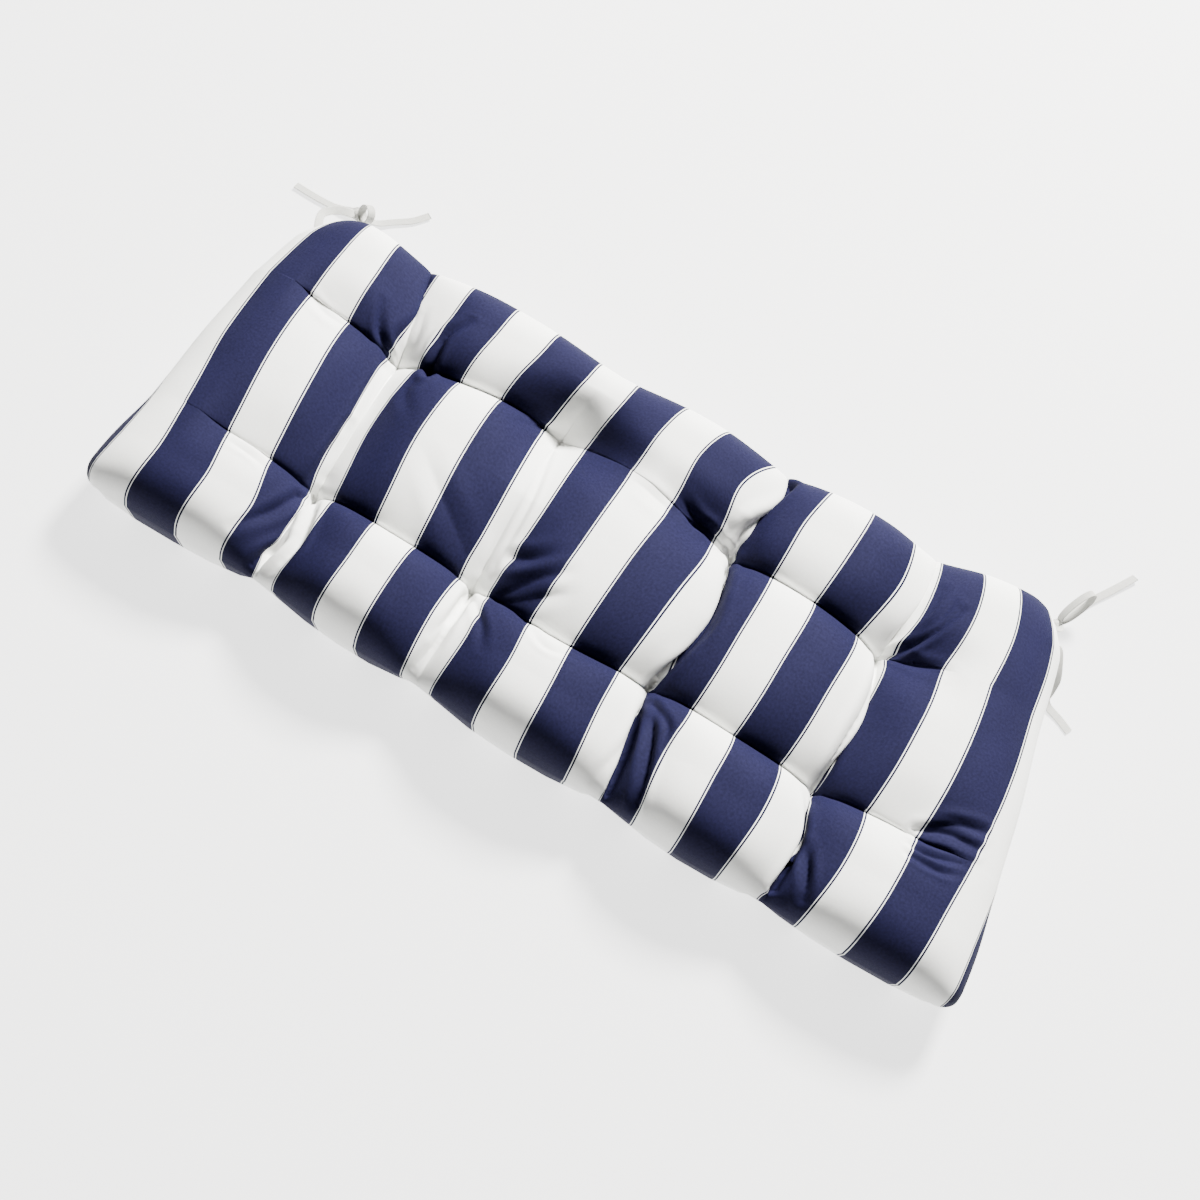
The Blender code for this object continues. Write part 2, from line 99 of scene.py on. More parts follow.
# How deep each crease along the cushion is, 1 being as deep as the seam.
# name, left end, then each lobe's middle and the tuft after it, right end. Under 0 is level.
ROW_CREASES = (
    ("front row", -0.90, 0.26, 1.00, 0.94, 1.00, 0.96, 1.00, 0.94, 1.00, 0.45, -0.60),
    ("back row", -0.90, 0.30, 1.00, 0.90, 0.90, 0.18, 1.00, 0.80, 1.00, 0.04, -0.60),
)

# How sharp they are at the same places.
ROW_KEENNESS = (
    ("front row", 0.00, 0.60, 1.00, 1.00, 1.00, 1.00, 1.00, 1.00, 1.00, 0.70, 0.00),
    ("back row", 0.00, 0.60, 1.00, 1.00, 0.50, 0.00, 1.00, 1.00, 0.80, 0.00, 0.00),
)

# How far the cloth beside a crease leans over it, in metres at the same places. The lobe to the
# left of a line leans to the right, and the one behind a row leans to the front.
LINE_LEANS = (
    ("line 1", 0.000, 0.002, 0.000, 0.000, 0.000, 0.008, 0.010),
    ("line 2", 0.000, 0.000, 0.000, 0.000, 0.000, 0.000, 0.000),
    ("line 3", 0.002, 0.005, 0.003, 0.022, 0.004, 0.018, 0.012),
    ("line 4", 0.002, 0.010, 0.003, 0.010, 0.002, 0.010, 0.006),
)
ROW_LEANS = (
    ("front row", 0.00, -0.006, -0.002, -0.010, -0.002, -0.010, -0.002, -0.010, -0.002, -0.006, 0.0),
    ("back row", 0.00, -0.004, -0.002, -0.008, -0.002, -0.003, -0.002, -0.008, -0.002, 0.0, 0.0),
)
LEAN_SPREAD = 0.045  # how far from the crease the cloth leans most, in lobes
LEAN_FADE = 0.06  # lobes from the seam over which the leans set in

# Height of each lobe's crown, as a share of the crown height, from the left end to the right.
LOBE_CROWNS = (
    ("front lobes", 0.90, 0.93, 0.96, 0.94, 0.92),
    ("middle lobes", 0.95, 0.97, 1.00, 0.98, 0.96),
    ("back lobes", 0.92, 0.94, 0.98, 0.96, 0.94),
)
END_LOBE_SWELL = 0.6  # swell of the front and back seams at the end lobes, against the others
END_SEAM_SWELL = 0.5  # swell of the two end seams, against the front and back ones

# The cloth along each crease, in stripes from the middle one. What lies between a crease's left
# and right side is tucked into it.
# name, then front seam, front lobe, front tuft, middle lobe, back tuft, back lobe, back seam
CLOTH_NET = (
    ("left end left", -10.8, -11.4, -11.1, -10.2, -10.0, -10.0, -10.2),
    ("left end right", -10.55, -10.6, -10.4, -10.1, -10.0, -10.0, -10.1),
    ("line 1 left", -6.8, -6.8, -6.5, -6.4, -6.3, -6.5, -6.7),
    ("line 1 right", -5.8, -6.0, -5.9, -5.7, -6.0, -6.4, -6.8),
    ("line 2 left", -2.2, -2.1, -2.2, -2.2, -2.1, -2.1, -1.9),
    ("line 2 right", -1.8, -2.0, -1.9, -2.1, -2.1, -2.1, -1.8),
    ("line 3 left", 2.4, 2.4, 2.2, 2.2, 2.0, 2.3, 1.8),
    ("line 3 right", 2.9, 2.9, 2.6, 2.65, 2.7, 2.8, 2.5),
    ("line 4 left", 6.5, 6.3, 6.3, 6.4, 6.1, 6.0, 6.2),
    ("line 4 right", 6.8, 6.6, 6.55, 6.6, 6.35, 6.3, 6.4),
    ("right end left", 10.6, 10.5, 10.2, 10.0, 9.9, 9.9, 10.2),
    ("right end right", 11.0, 11.3, 10.9, 10.1, 9.9, 9.9, 10.2),
)
CLOTH_TUCK = 0.06  # how far each side of a crease the tuck spreads, in lobes
CLOTH_ROWS = (0.0, 0.178, 0.392, 0.575)  # metres of cloth behind the front seam at each row

# Folds that the cloth shows.
# name, width and depth in millimetres, the share of the depth at its start and at its end, then
# (u, v), in lobes along and across the cushion, at its first, middle and last place
FOLDS = (
    ("first back tuft, left ray", 4.5, 6.0, 0.9, 0.2, (0.95, 2.00), (0.85, 2.10), (0.80, 2.30)),
    ("first back tuft, middle ray", 4.5, 4.0, 0.9, 0.2, (0.95, 2.05), (0.95, 2.20), (1.00, 2.45)),
    ("first back tuft, right ray", 4.5, 2.5, 0.9, 0.2, (1.00, 2.00), (1.05, 2.20), (1.05, 2.50)),
    ("first back tuft, notch", 4.5, 8.0, 0.9, 0.2, (1.20, 1.95), (1.20, 2.25), (1.30, 2.50)),
    ("first back tuft, low ray", 5.0, 2.5, 0.9, 0.2, (1.15, 1.85), (1.15, 1.75), (1.25, 1.60)),
    ("first line, upper ridge", 3.5, 5.5, 0.5, 0.3, (0.95, 1.90), (0.95, 1.65), (0.95, 1.40)),
    ("first line, lower ridge", 3.5, 6.0, 0.5, 0.4, (0.95, 1.45), (0.95, 1.25), (0.95, 1.05)),
    ("first front tuft, far left ray", 4.5, 5.5, 0.9, 0.2, (0.95, 0.85), (0.90, 0.55), (0.80, 0.20)),
    ("first front tuft, left ray", 4.5, 7.0, 0.2, 0.6, (1.05, 0.45), (1.00, 0.25), (0.95, 0.00)),
    ("first front tuft, middle ray", 4.5, 7.0, 0.9, 0.2, (1.00, 1.00), (1.10, 0.45), (1.05, 0.00)),
    ("first front tuft, right ray", 4.5, 4.0, 0.4, 0.2, (1.05, 1.00), (1.10, 0.50), (1.10, 0.20)),
    ("second lobe, long sag", 7.5, 4.0, 0.1, 0.5, (1.40, 1.45), (1.65, 1.25), (1.90, 1.10)),
    ("second front tuft, top fan", 4.5, 6.0, 0.1, 0.7, (2.30, 1.35), (2.20, 1.25), (2.10, 1.20)),
    ("second front tuft, middle fan", 4.5, 8.0, 0.1, 0.7, (2.40, 1.30), (2.25, 1.15), (2.15, 1.05)),
    ("second front tuft, low fan", 4.5, 6.0, 0.1, 0.7, (2.45, 1.20), (2.30, 1.10), (2.15, 1.00)),
    ("second line, valley", 3.0, 4.0, 0.5, 0.4, (2.00, 1.85), (2.05, 1.50), (2.05, 1.15)),
    ("second back tuft, left ray", 5.0, 2.5, 0.2, 0.9, (1.75, 1.85), (1.85, 1.95), (1.95, 2.05)),
    ("third back tuft, left ray", 5.0, 5.5, 0.2, 0.9, (2.65, 2.10), (2.75, 2.05), (2.85, 2.05)),
    ("third back tuft, low left ray", 4.5, 2.5, 0.2, 0.9, (2.65, 2.05), (2.75, 2.00), (2.80, 2.05)),
    ("back row, third lobe", 6.0, 3.5, 0.1, 0.3, (2.40, 1.95), (2.55, 1.95), (2.65, 1.95)),
    ("third back tuft, short ray", 3.5, 4.0, 0.3, 0.9, (2.85, 2.05), (2.95, 2.05), (3.00, 2.05)),
    ("third back tuft, upper ray", 4.5, 4.0, 0.3, 0.9, (2.90, 2.25), (2.90, 2.10), (3.00, 2.00)),
    ("third line, back pleat", 5.0, 12.0, 0.3, 1.0, (3.00, 2.00), (2.95, 2.25), (3.05, 2.85)),
    ("third line, middle pleat", 6.0, 11.0, 0.5, 0.7, (3.00, 1.90), (3.05, 1.45), (3.00, 1.05)),
    ("third line, beside the pleat", 4.5, 4.5, 0.2, 0.2, (3.10, 1.65), (3.10, 1.45), (3.10, 1.30)),
    ("fourth back tuft, left ray", 5.0, 5.5, 0.9, 0.2, (4.10, 2.10), (4.10, 2.30), (4.10, 2.65)),
    ("fourth back tuft, upper ray", 4.5, 4.0, 0.3, 0.2, (4.05, 2.15), (4.05, 2.35), (4.05, 2.55)),
    ("fourth back tuft, long pleat", 4.5, 9.0, 0.5, 0.2, (4.05, 2.05), (4.15, 2.20), (4.25, 2.50)),
    ("fourth back tuft, short pleat", 4.0, 6.0, 0.3, 0.2, (4.10, 2.20), (4.15, 2.35), (4.20, 2.55)),
    ("fourth back tuft, right ray", 5.0, 4.0, 0.9, 0.2, (4.05, 2.05), (4.20, 2.00), (4.35, 2.00)),
    ("fourth line, middle pleat", 5.0, 7.0, 0.5, 0.6, (4.00, 2.00), (3.95, 1.45), (4.00, 1.00)),
    ("third front tuft, pleat", 5.0, 6.5, 0.1, 0.6, (3.00, 0.80), (3.00, 0.50), (3.00, 0.00)),
    ("third front tuft, right pleat", 4.5, 9.0, 0.1, 0.9, (3.05, 0.85), (3.10, 0.50), (3.15, 0.05)),
    ("third front tuft, short ray", 4.5, 4.0, 0.9, 0.2, (3.05, 0.85), (3.15, 0.70), (3.15, 0.55)),
    ("third front tuft, left ray", 3.5, 2.5, 0.4, 0.4, (3.00, 0.85), (2.95, 0.35), (2.90, 0.05)),
    ("front row end, first fan", 4.0, 7.0, 0.4, 0.6, (4.55, 1.10), (4.65, 1.15), (4.80, 1.20)),
    ("front row end, second fan", 3.5, 8.0, 0.5, 0.4, (4.50, 1.05), (4.65, 1.10), (4.80, 1.10)),
    ("front row end, third fan", 3.5, 6.0, 0.5, 0.2, (4.50, 0.90), (4.60, 0.90), (4.75, 0.95)),
    ("front row end, fourth fan", 3.5, 4.5, 0.6, 0.2, (4.50, 0.80), (4.65, 0.80), (4.75, 0.85)),
    ("fourth front tuft, pleat", 4.5, 9.0, 0.2, 0.8, (3.95, 0.90), (4.00, 0.55), (4.00, 0.10)),
    ("fourth front tuft, low pleat", 4.0, 8.0, 0.2, 0.5, (4.05, 0.50), (4.10, 0.30), (4.15, 0.10)),
    ("front row, first lobe", 4.5, 4.0, 0.4, 0.2, (0.55, 0.90), (0.65, 0.90), (0.75, 0.85)),
    ("back row, first lobe", 4.5, 4.0, 0.4, 0.2, (0.40, 2.00), (0.55, 1.95), (0.70, 1.95)),
    ("front row, third lobe", 4.5, 4.0, 0.3, 0.3, (2.30, 1.00), (2.45, 0.80), (2.60, 0.85)),
    ("second front tuft, left ray", 4.5, 5.5, 0.9, 0.2, (2.00, 1.00), (2.00, 0.65), (1.95, 0.35)),
    ("second front tuft, long ray", 4.5, 5.5, 0.9, 0.2, (2.00, 0.90), (2.00, 0.35), (1.95, 0.00)),
    ("second front tuft, right ray", 4.5, 4.0, 0.9, 0.2, (2.05, 0.85), (2.15, 0.65), (2.20, 0.45)),
)
LOBE_LENGTH, LOBE_DEPTH = 0.225, 0.165  # plan sizes of one lobe, to measure across a fold
FOLD_PLACES = 80  # places along a fold
FOLD_REACH = 5.0  # how far beside its line a fold moves the cloth, in widths
FOLD_RIM, FOLD_RIM_SPREAD = 2.4, 1.1  # where the cloth stands up beside a fold, in widths
FOLD_FADE = 0.05  # lobes from the seam over which the folds set in

# The first places of a strap: metres out from the seam, and roll in degrees.
STRAP_START = ((0.0005, 0), (0.0060, 8))
SEAM_PIECE = 0.02  # lobes of seam that a strap's start is square to
# Where the straps leave the seam, in lobes along and across the cushion.
STRAP_ROOTS = {
    "left_long": (0.0, 2.86),
    "right_long": (5.0, 3.0),
    "right_side": (5.0, 2.80),
}
# Ties, as in the solids. x, y and z from the middle of a back corner, and roll in degrees.
TIE_PATHS = {
    "left_long": (
        (-0.0293, 0.0170, 0.0445, -25),
        (-0.0265, 0.0336, 0.0370, -45),
        (-0.0182, 0.0487, 0.0265, -45),
        (-0.0094, 0.0580, 0.0165, -25),
        (-0.0039, 0.0662, 0.0100, -10),
        (-0.0142, 0.0670, 0.0078, -10),
        (-0.0253, 0.0645, 0.0050, -14),
        (-0.0409, 0.0620, 0.0026, -12),
        (-0.0664, 0.0613, 0.0022, -10),
        (-0.0917, 0.0622, 0.0022, -10),
    ),
    "left_short": (
        (-0.0026, 0.0670, 0.0088, 16),
        (0.0081, 0.0675, 0.0080, 16),
        (0.0161, 0.0690, 0.0060, 16),
        (0.0231, 0.0738, 0.0036, 14),
        (0.0359, 0.0859, 0.0024, 12),
        (0.0540, 0.1015, 0.0022, 10),
        (0.0675, 0.1202, 0.0022, 10),
    ),
    "right_long": (
        (0.0150, 0.0093, 0.0440, 30),
        (0.0165, 0.0180, 0.0330, 40),
        (0.0150, 0.0240, 0.0200, 30),
        (0.0145, 0.0312, 0.0085, 10),
        (0.0175, 0.0420, 0.0048, -10),
        (0.0240, 0.0600, 0.0028, -4),
        (0.0409, 0.0910, 0.0024, 5),
        (0.0574, 0.1181, 0.0024, 12),
        (0.0767, 0.1516, 0.0032, 24),
    ),
    "right_side": (
        (0.0354, -0.0321, 0.0380, 5),
        (0.0416, -0.0414, 0.0280, 10),
        (0.0427, -0.0512, 0.0180, 10),
        (0.0430, -0.0603, 0.0090, 5),
        (0.0507, -0.0660, 0.0030, 0),
        (0.0682, -0.0722, 0.0014, 0),
        (0.0853, -0.0805, 0.0014, 0),
    ),
}
TIE_NODES = {
    "left_long": ("tie_left_strap", "tie_left_tail_out"),
    "left_short": ("tie_left_tail_in",),
    "right_long": ("tie_right_strap", "tie_right_tail_back"),
    "right_side": ("tie_right_side_strap",),
}

# x, y, z of the middle from that of the back corner, radii along X, Y and Z, turn about Z in
# degrees
KNOTS = {
    "left": (-0.0036, 0.0666, 0.0088, 0.0095, 0.0085, 0.0084, 20),
    "right": (0.0140, 0.0320, 0.0082, 0.0070, 0.0082, 0.0078, -20),
}
# half length, half width, then in degrees the heading, rise and lean about its own length
LOOPS = {
    "left": (0.0138, 0.0108, -20, 52, -35),
    "right": (0.0260, 0.0080, 66, 36, -35),
}

STEPS_ALONG_LOBE = 72
STEPS_ACROSS_LOBE = 84
STEPS_BELOW = 12  # stations of the upper panel to one of the lower panel
PLAN_STEPS = 50  # stations to a lobe while the middle of the plan is found
SETTLE_STEPS = 48  # stations to a lobe while the cloth settles
SETTLE_FRAMES = 16
SETTLE_REACH = 0.005  # the most that the cloth may move as it settles
SETTLE_EVENINGS = 10  # times that the move is evened
WEIGHT_LEVELS = 20  # levels of the weights that hold and loosen the cloth
LINE_HOLD, ROW_HOLD = 0.050, 0.060  # how far beside a crease the cloth is held, in lobes
SLACK_REACH = 0.35  # how far in from the front and back seams the cloth is slack, in lobes
SECTION_POINTS = 18  # round a tie
TIE_STEP = 0.0015  # metres between two sections of a tie
PATH_PLACES = 60  # to each point of a tie's path, while its length is measured
KNOT_POINTS, KNOT_RINGS = 48, 28
KNOT_POLE = 0.02  # angle from a knot's pole to its first ring
KNOT_CLEARANCE = 0.0005  # of the lowest side of a knot above the seat
LOOP_POINTS = 72
LOOP_START = 0.0085  # from a knot's middle to the near end of its loop
FLAT_KNOT = 0.009  # metres of cloth to each radian of a knot

# The cloth's pattern, in metres.
PINSTRIPE_PLACE = 0.0021  # from a dark stripe's edge to the middle of the line beside it
PINSTRIPE_HALF_WIDTH = 0.0010
EDGE_BLUR = 0.0002
THREAD_PITCH = 0.0009

# The camera. Angles are in degrees, and the lens and its shifts in pixels of a square picture.
CAMERA_ELEVATION, CAMERA_AZIMUTH, CAMERA_ROLL = 63.789, -8.670, 22.509
CAMERA_AIM = (-0.010, 0.0014, 0.05)
CAMERA_DISTANCE = 2.399
PICTURE_SIDE = 1200.0
FOCAL_LENGTH = 2097.7
SHIFT_ACROSS, SHIFT_UP = -2.0, -26.6
SENSOR_WIDTH = 36.0  # millimetres

FLOOR_HALF_WIDTH = 6.0
FLOOR_HEIGHT = -0.0002


# ---------------------------------------------------------------- sizes and colours
class BenchCushionSizes(bpy.types.PropertyGroup):
    """Sizes of the cushion and its ties"""

    half_length: FloatProperty(
        name="Half length",
        description="From the middle to the widest point, at the front corners",
        default=0.564,
        unit="LENGTH",
    )
    half_depth: FloatProperty(
        name="Half depth",
        description="From the middle to the furthest front or back seam",
        default=0.2505,
        unit="LENGTH",
    )
    seam_height: FloatProperty(
        name="Seam height",
        description="Height of the seam that joins the two panels",
        default=0.050,
        unit="LENGTH",
    )
    crown_height: FloatProperty(
        name="Crown height",
        description="Height of the highest lobes",
        default=0.121,
        unit="LENGTH",
    )
    tuft_dip: FloatProperty(
        name="Tuft dip",
        description="How far a tuft is drawn below the seam's height",
        default=0.011,
        unit="LENGTH",
    )
    tuft_reach: FloatProperty(
        name="Tuft reach",
        description="How far the dip of a tuft spreads",
        default=0.021,
        unit="LENGTH",
    )
    tuft_core: FloatProperty(
        name="Tuft core",
        description="Filling left between the two panels at a tuft",
        default=0.006,
        unit="LENGTH",
    )
    underside_press: FloatProperty(
        name="Underside press",
        description="How far the lower lobes would stand below the seat if it weren't there",
        default=0.030,
        unit="LENGTH",
    )
    underside_share: FloatProperty(
        name="Underside share",
        description="Depth of the creases below, as a share of those above",
        default=0.82,
        subtype="FACTOR",
    )
    lobe_power: FloatProperty(
        name="Fullness along",
        description="2 makes a lobe's section along the bench an ellipse, more makes it boxier",
        default=2.3,
    )
    lobe_power_across: FloatProperty(
        name="Fullness across",
        description="The same from the front to the back",
        default=2.9,
    )
    front_corner_radius: FloatProperty(
        name="Front corner radius",
        description="Rounding of the two front corners",
        default=0.026,
        unit="LENGTH",
    )
    back_corner_radius: FloatProperty(
        name="Back corner radius",
        description="Rounding of the two back corners",
        default=0.060,
        unit="LENGTH",
    )
    seam_bulge: FloatProperty(
        name="Seam bulge",
        description="How far the seam swells out between two creases",
        default=0.0045,
        unit="LENGTH",
    )
    stripe_width: FloatProperty(
        name="Stripe width",
        description="Width of one stripe of the cloth",
        default=0.0575,
        unit="LENGTH",
    )
    tie_width: FloatProperty(
        name="Tie width", description="Width of a tie", default=0.0105, unit="LENGTH"
    )
    tie_thickness: FloatProperty(
        name="Tie thickness",
        description="Thickness of a tie's folded cloth",
        default=0.0016,
        unit="LENGTH",
    )


class BenchCushionColours(bpy.types.PropertyGroup):
    """Colours of the cloth"""

    navy: FloatVectorProperty(
        name="Dark stripe",
        description="Colour of the dark stripes",
        subtype="COLOR",
        size=3,
        default=(0.0058, 0.0056, 0.0250),
    )
    white: FloatVectorProperty(
        name="Light stripe",
        description="Colour of the light stripes",
        subtype="COLOR",
        size=3,
        default=(0.86, 0.865, 0.84),
    )
    tie: FloatVectorProperty(
        name="Tie",
        description="Colour of the ties",
        subtype="COLOR",
        size=3,
        default=(0.42, 0.42, 0.395),
    )
    floor: FloatVectorProperty(
        name="Floor",
        description="Colour of the floor",
        subtype="COLOR",
        size=3,
        default=(0.42, 0.42, 0.42),
    )


# ---------------------------------------------------------------- numbers and curves
def smooth_through(values, places):
    """Catmull-Rom curve through values that stand at 0, 1, 2 and so on."""
    values = np.asarray(values, float)
    places = np.asarray(places, float)
    first = 2.0 * values[0] - values[1]
    last = 2.0 * values[-1] - values[-2]
    padded = np.concatenate([[first], values, [last]])
    cell = np.clip(np.floor(places).astype(int), 0, len(values) - 2)
    t = (places - cell).reshape(places.shape + (1,) * (values.ndim - 1))
    before, start, end, after = (padded[cell + k] for k in range(4))
    slope_in = 0.5 * (end - before)
    slope_out = 0.5 * (after - start)
    return (
        (2 * t**3 - 3 * t**2 + 1) * start
        + (t**3 - 2 * t**2 + t) * slope_in
        + (3 * t**2 - 2 * t**3) * end
        + (t**3 - t**2) * slope_out
    )


def between_rows(rows, across):
    """Straight blend between arrays that stand at 0, 1, 2 and so on across the cushion."""
    rows = np.stack(rows)
    cell = np.clip(np.floor(across).astype(int), 0, len(rows) - 2)
    index = np.indices(across.shape)
    start = rows[(cell, *index)]
    return start + (rows[(cell + 1, *index)] - start) * (across - cell)


def stations(cells, steps):
    """Places over so many lobes, half of their spacing even and half of it drawn in to the
    creases by a cosine."""
    even = np.linspace(0.0, 1.0, steps + 1)
    share = 0.5 * even + 0.25 * (1.0 - np.cos(math.pi * even))
    return np.concatenate([*[cell + share[:-1] for cell in range(cells)], [float(cells)]])


def lobe_grid(steps_along, steps_across):
    """Places u from 0 to 5 along and v from 0 to 3 across."""
    along, across = stations(LOBES_ALONG, steps_along), stations(LOBES_ACROSS, steps_across)
    return np.meshgrid(along, across, indexing="ij")


# ---------------------------------------------------------------- shape of the cushion
def bow(rows, along, across):
    """Sideways bow of the creases: each one's own at each lobe that it runs past, times the sine
    of the way from crossing to crossing, and smooth from one crease to the next."""
    count = len(rows[0]) - 1
    cell = np.clip(np.floor(along).astype(int), 0, count - 1)
    straight = np.zeros(count)
    table = np.array([straight, *[row[1:] for row in rows], straight])
    by_cell = [smooth_through(table[:, k], across) for k in range(count)]
    return np.choose(cell, by_cell) * np.sin(math.pi * (along - cell))


def plan_of(sizes, along, across):
    """Plan place of (u, v): Catmull-Rom curves through the crossings along X, straight lines
    between them along Y, the bows of the creases, and the seams swollen out by the square of a
    sine between creases."""
    x_rows, y_rows = (
        [
            smooth_through([line[first + k] * half for line in CREASE_NET], along)
            for k in range(4)
        ]
        for first, half in ((1, sizes.half_length), (5, sizes.half_depth))
    )
    x = between_rows(x_rows, across) + bow(LINE_BOWS, across, along)
    y = between_rows(y_rows, across) + bow(ROW_BOWS, along, across)
    swell_along = np.sin(math.pi * (along % 1.0)) ** 2
    swell_across = np.sin(math.pi * (across % 1.0)) ** 2
    front_share = np.clip(1.0 - across, 0.0, 1.0)
    back_share = np.clip(across - (LOBES_ACROSS - 1.0), 0.0, 1.0)
    left_share = np.clip(1.0 - along, 0.0, 1.0)
    right_share = np.clip(along - (LOBES_ALONG - 1.0), 0.0, 1.0)
    inner = np.where((along > 1.0) & (along < LOBES_ALONG - 1.0), 1.0, END_LOBE_SWELL)
    y = y + sizes.seam_bulge * swell_along * inner * (back_share - front_share)
    x = x + sizes.seam_bulge * swell_across * END_SEAM_SWELL * (right_share - left_share)
    return x, y


def round_corners(sizes, x, y):
    """Draw each corner square of the plan in to a quarter disc: a' = a sqrt(1 - b^2 / 2)."""
    corners = (
        (CREASE_NET[0], 1, sizes.front_corner_radius),
        (CREASE_NET[-1], 1, sizes.front_corner_radius),
        (CREASE_NET[0], 4, sizes.back_corner_radius),
        (CREASE_NET[-1], 4, sizes.back_corner_radius),
    )
    for line, column, radius in corners:
        share_x, share_y = line[column], line[column + 4]
        side_x, side_y = math.copysign(1.0, share_x), math.copysign(1.0, share_y)
        centre_x = share_x * sizes.half_length - side_x * radius
        centre_y = share_y * sizes.half_depth - side_y * radius
        a = (x - centre_x) * side_x / radius
        b = (y - centre_y) * side_y / radius
        inside = (a > 0.0) & (b > 0.0)
        a_round = a * np.sqrt(1.0 - np.clip(b, 0.0, 1.0) ** 2 / 2.0)
        b_round = b * np.sqrt(1.0 - np.clip(a, 0.0, 1.0) ** 2 / 2.0)
        x = np.where(inside, centre_x + side_x * radius * a_round, x)
        y = np.where(inside, centre_y + side_y * radius * b_round, y)
    return x, y


def seam_plan(sizes, along, across):
    """Finished plan place of (u, v), with the cushion's middle at the origin."""
    grid_x, grid_y = round_corners(sizes, *plan_of(sizes, *lobe_grid(PLAN_STEPS, PLAN_STEPS)))
    x, y = round_corners(sizes, *plan_of(sizes, np.atleast_1d(along), np.atleast_1d(across)))
    return x - (grid_x.max() + grid_x.min()) / 2.0, y - (grid_y.max() + grid_y.min()) / 2.0


def along_crease(creases, place_across, place_along, at_ends):
    """What a table says of the crease nearest to a place. Between a lobe's middle and a crossing
    it follows the power 1.5 of the distance, so it changes most at a tuft."""
    half = place_along * 2.0
    cell = np.clip(np.floor(half).astype(int), 0, len(creases[0]) - 3)
    share = half - cell
    from_middle = np.where(cell % 2 == 0, 1.0 - share, share) ** 1.5
    middle = np.where(cell % 2 == 0, cell + 1, cell)
    end = np.where(cell % 2 == 0, cell, cell + 1)
    nearest = np.clip(np.rint(place_across).astype(int), 0, len(creases) + 1)
    found = [np.full(place_along.shape, at_ends)]
    for row in creases:
        values = np.array(row[1:], float)
        found.append(values[middle] + (values[end] - values[middle]) * from_middle)
    found.append(found[0])
    return np.choose(nearest, found)


def lobe_fall(share, depth, keen, power):
    """Fall of the cloth at a share of the way over a lobe. A keen crease has an elliptic
    section, 1 - (1 - |1 - 2 s|^n)^(1 / n), and a soft one a rounded valley, cos(pi s)^4."""
    away = np.abs(1.0 - 2.0 * share)
    sharp = 1.0 - np.clip(1.0 - away**power, 0.0, 1.0) ** (1.0 / power)
    soft = np.cos(math.pi * share) ** 4
    return depth * (keen * sharp + (1.0 - keen) * soft)


def lobe_rise(sizes, along, across, share):
    """How far the cloth has risen from the seam to the crowns: (1 - fall u) (1 - fall v)."""
    line_depth = along_crease(LINE_CREASES, along, across, 1.0)
    row_depth = np.maximum(along_crease(ROW_CREASES, across, along, 1.0), 0.0)
    line_keen = along_crease(LINE_KEENNESS, along, across, 1.0)
    row_keen = along_crease(ROW_KEENNESS, across, along, 1.0)
    at_end = (along < 0.5) | (along > LOBES_ALONG - 0.5)
    at_side = (across < 0.5) | (across > LOBES_ACROSS - 0.5)
    line_depth = np.where(at_end, 1.0, line_depth * share)
    row_depth = np.where(at_side, 1.0, row_depth * share)
    rise_along = 1.0 - lobe_fall(along % 1.0, line_depth, line_keen, sizes.lobe_power)
    rise_across = 1.0 - lobe_fall(across % 1.0, row_depth, row_keen, sizes.lobe_power_across)
    return rise_along * rise_across


def leant(creases, place_across, place_along):
    """How far the cloth leans over a crease: its own lean times (s / w) exp(1 - s / w) at a
    distance s from it, on the side that it leans from."""
    amount = along_crease(creases, place_across, place_along, 0.0)
    before = (np.rint(place_across) - place_across) * np.sign(amount)
    reach = np.clip(before, 0.0, None) / LEAN_SPREAD
    return amount * reach * np.exp(1.0 - reach)


def tuft_places(sizes):
    """Plan places of the eight tufts."""
    return [
        (line[column] * sizes.half_length, line[column + 4] * sizes.half_depth)
        for line in CREASE_NET[1:-1]
        for column in (2, 3)
    ]


def tuft_dimple(sizes, x, y):
    """Dip around the tufts: exp(-(distance / reach)^2), 1 at a tuft."""
    dip = np.zeros_like(x)
    for tuft_x, tuft_y in tuft_places(sizes):
        away = np.hypot(x - tuft_x, y - tuft_y)
        dip = np.maximum(dip, np.exp(-((away / sizes.tuft_reach) ** 2)))
    return dip


def cushion_panels(sizes, along, across):
    """The upper and lower panel at (u, v). Height above: seam + (crown - seam) rise - dip.
    Height below: seam - (seam + press) rise, not under the seat and not near the upper panel."""
    x, y = seam_plan(sizes, along, across)
    middles = np.arange(LOBES_ALONG) + 0.5
    crown_rows = [np.interp(along, middles, row[1:]) for row in LOBE_CROWNS]
    row_place = np.clip(across - 0.5, 0.0, LOBES_ACROSS - 1.0)
    crown = between_rows(crown_rows, row_place) * sizes.crown_height
    seam = sizes.seam_height
    upper = seam + (crown - seam) * lobe_rise(sizes, along, across, 1.0)
    upper = upper - sizes.tuft_dip * tuft_dimple(sizes, x, y)
    below = lobe_rise(sizes, along, across, sizes.underside_share)
    lower = np.clip(seam - (seam + sizes.underside_press) * below, 0.0, upper - sizes.tuft_core)
    edge = on_seam(along, across)
    upper = np.where(edge, seam, upper)
    lower = np.where(edge, seam, lower)
    off_seam = np.clip(from_seam(along, across) / LEAN_FADE, 0.0, 1.0)
    leant_x = x + leant(LINE_LEANS, along, across) * off_seam
    leant_y = y + leant(ROW_LEANS, across, along) * off_seam
    return np.stack([leant_x, leant_y, upper], -1), np.stack([x, y, lower], -1)


def from_seam(along, across):
    """Lobes between a place and the nearest seam."""
    from_end = np.minimum(along, LOBES_ALONG - along)
    return np.minimum(from_end, np.minimum(across, LOBES_ACROSS - across))


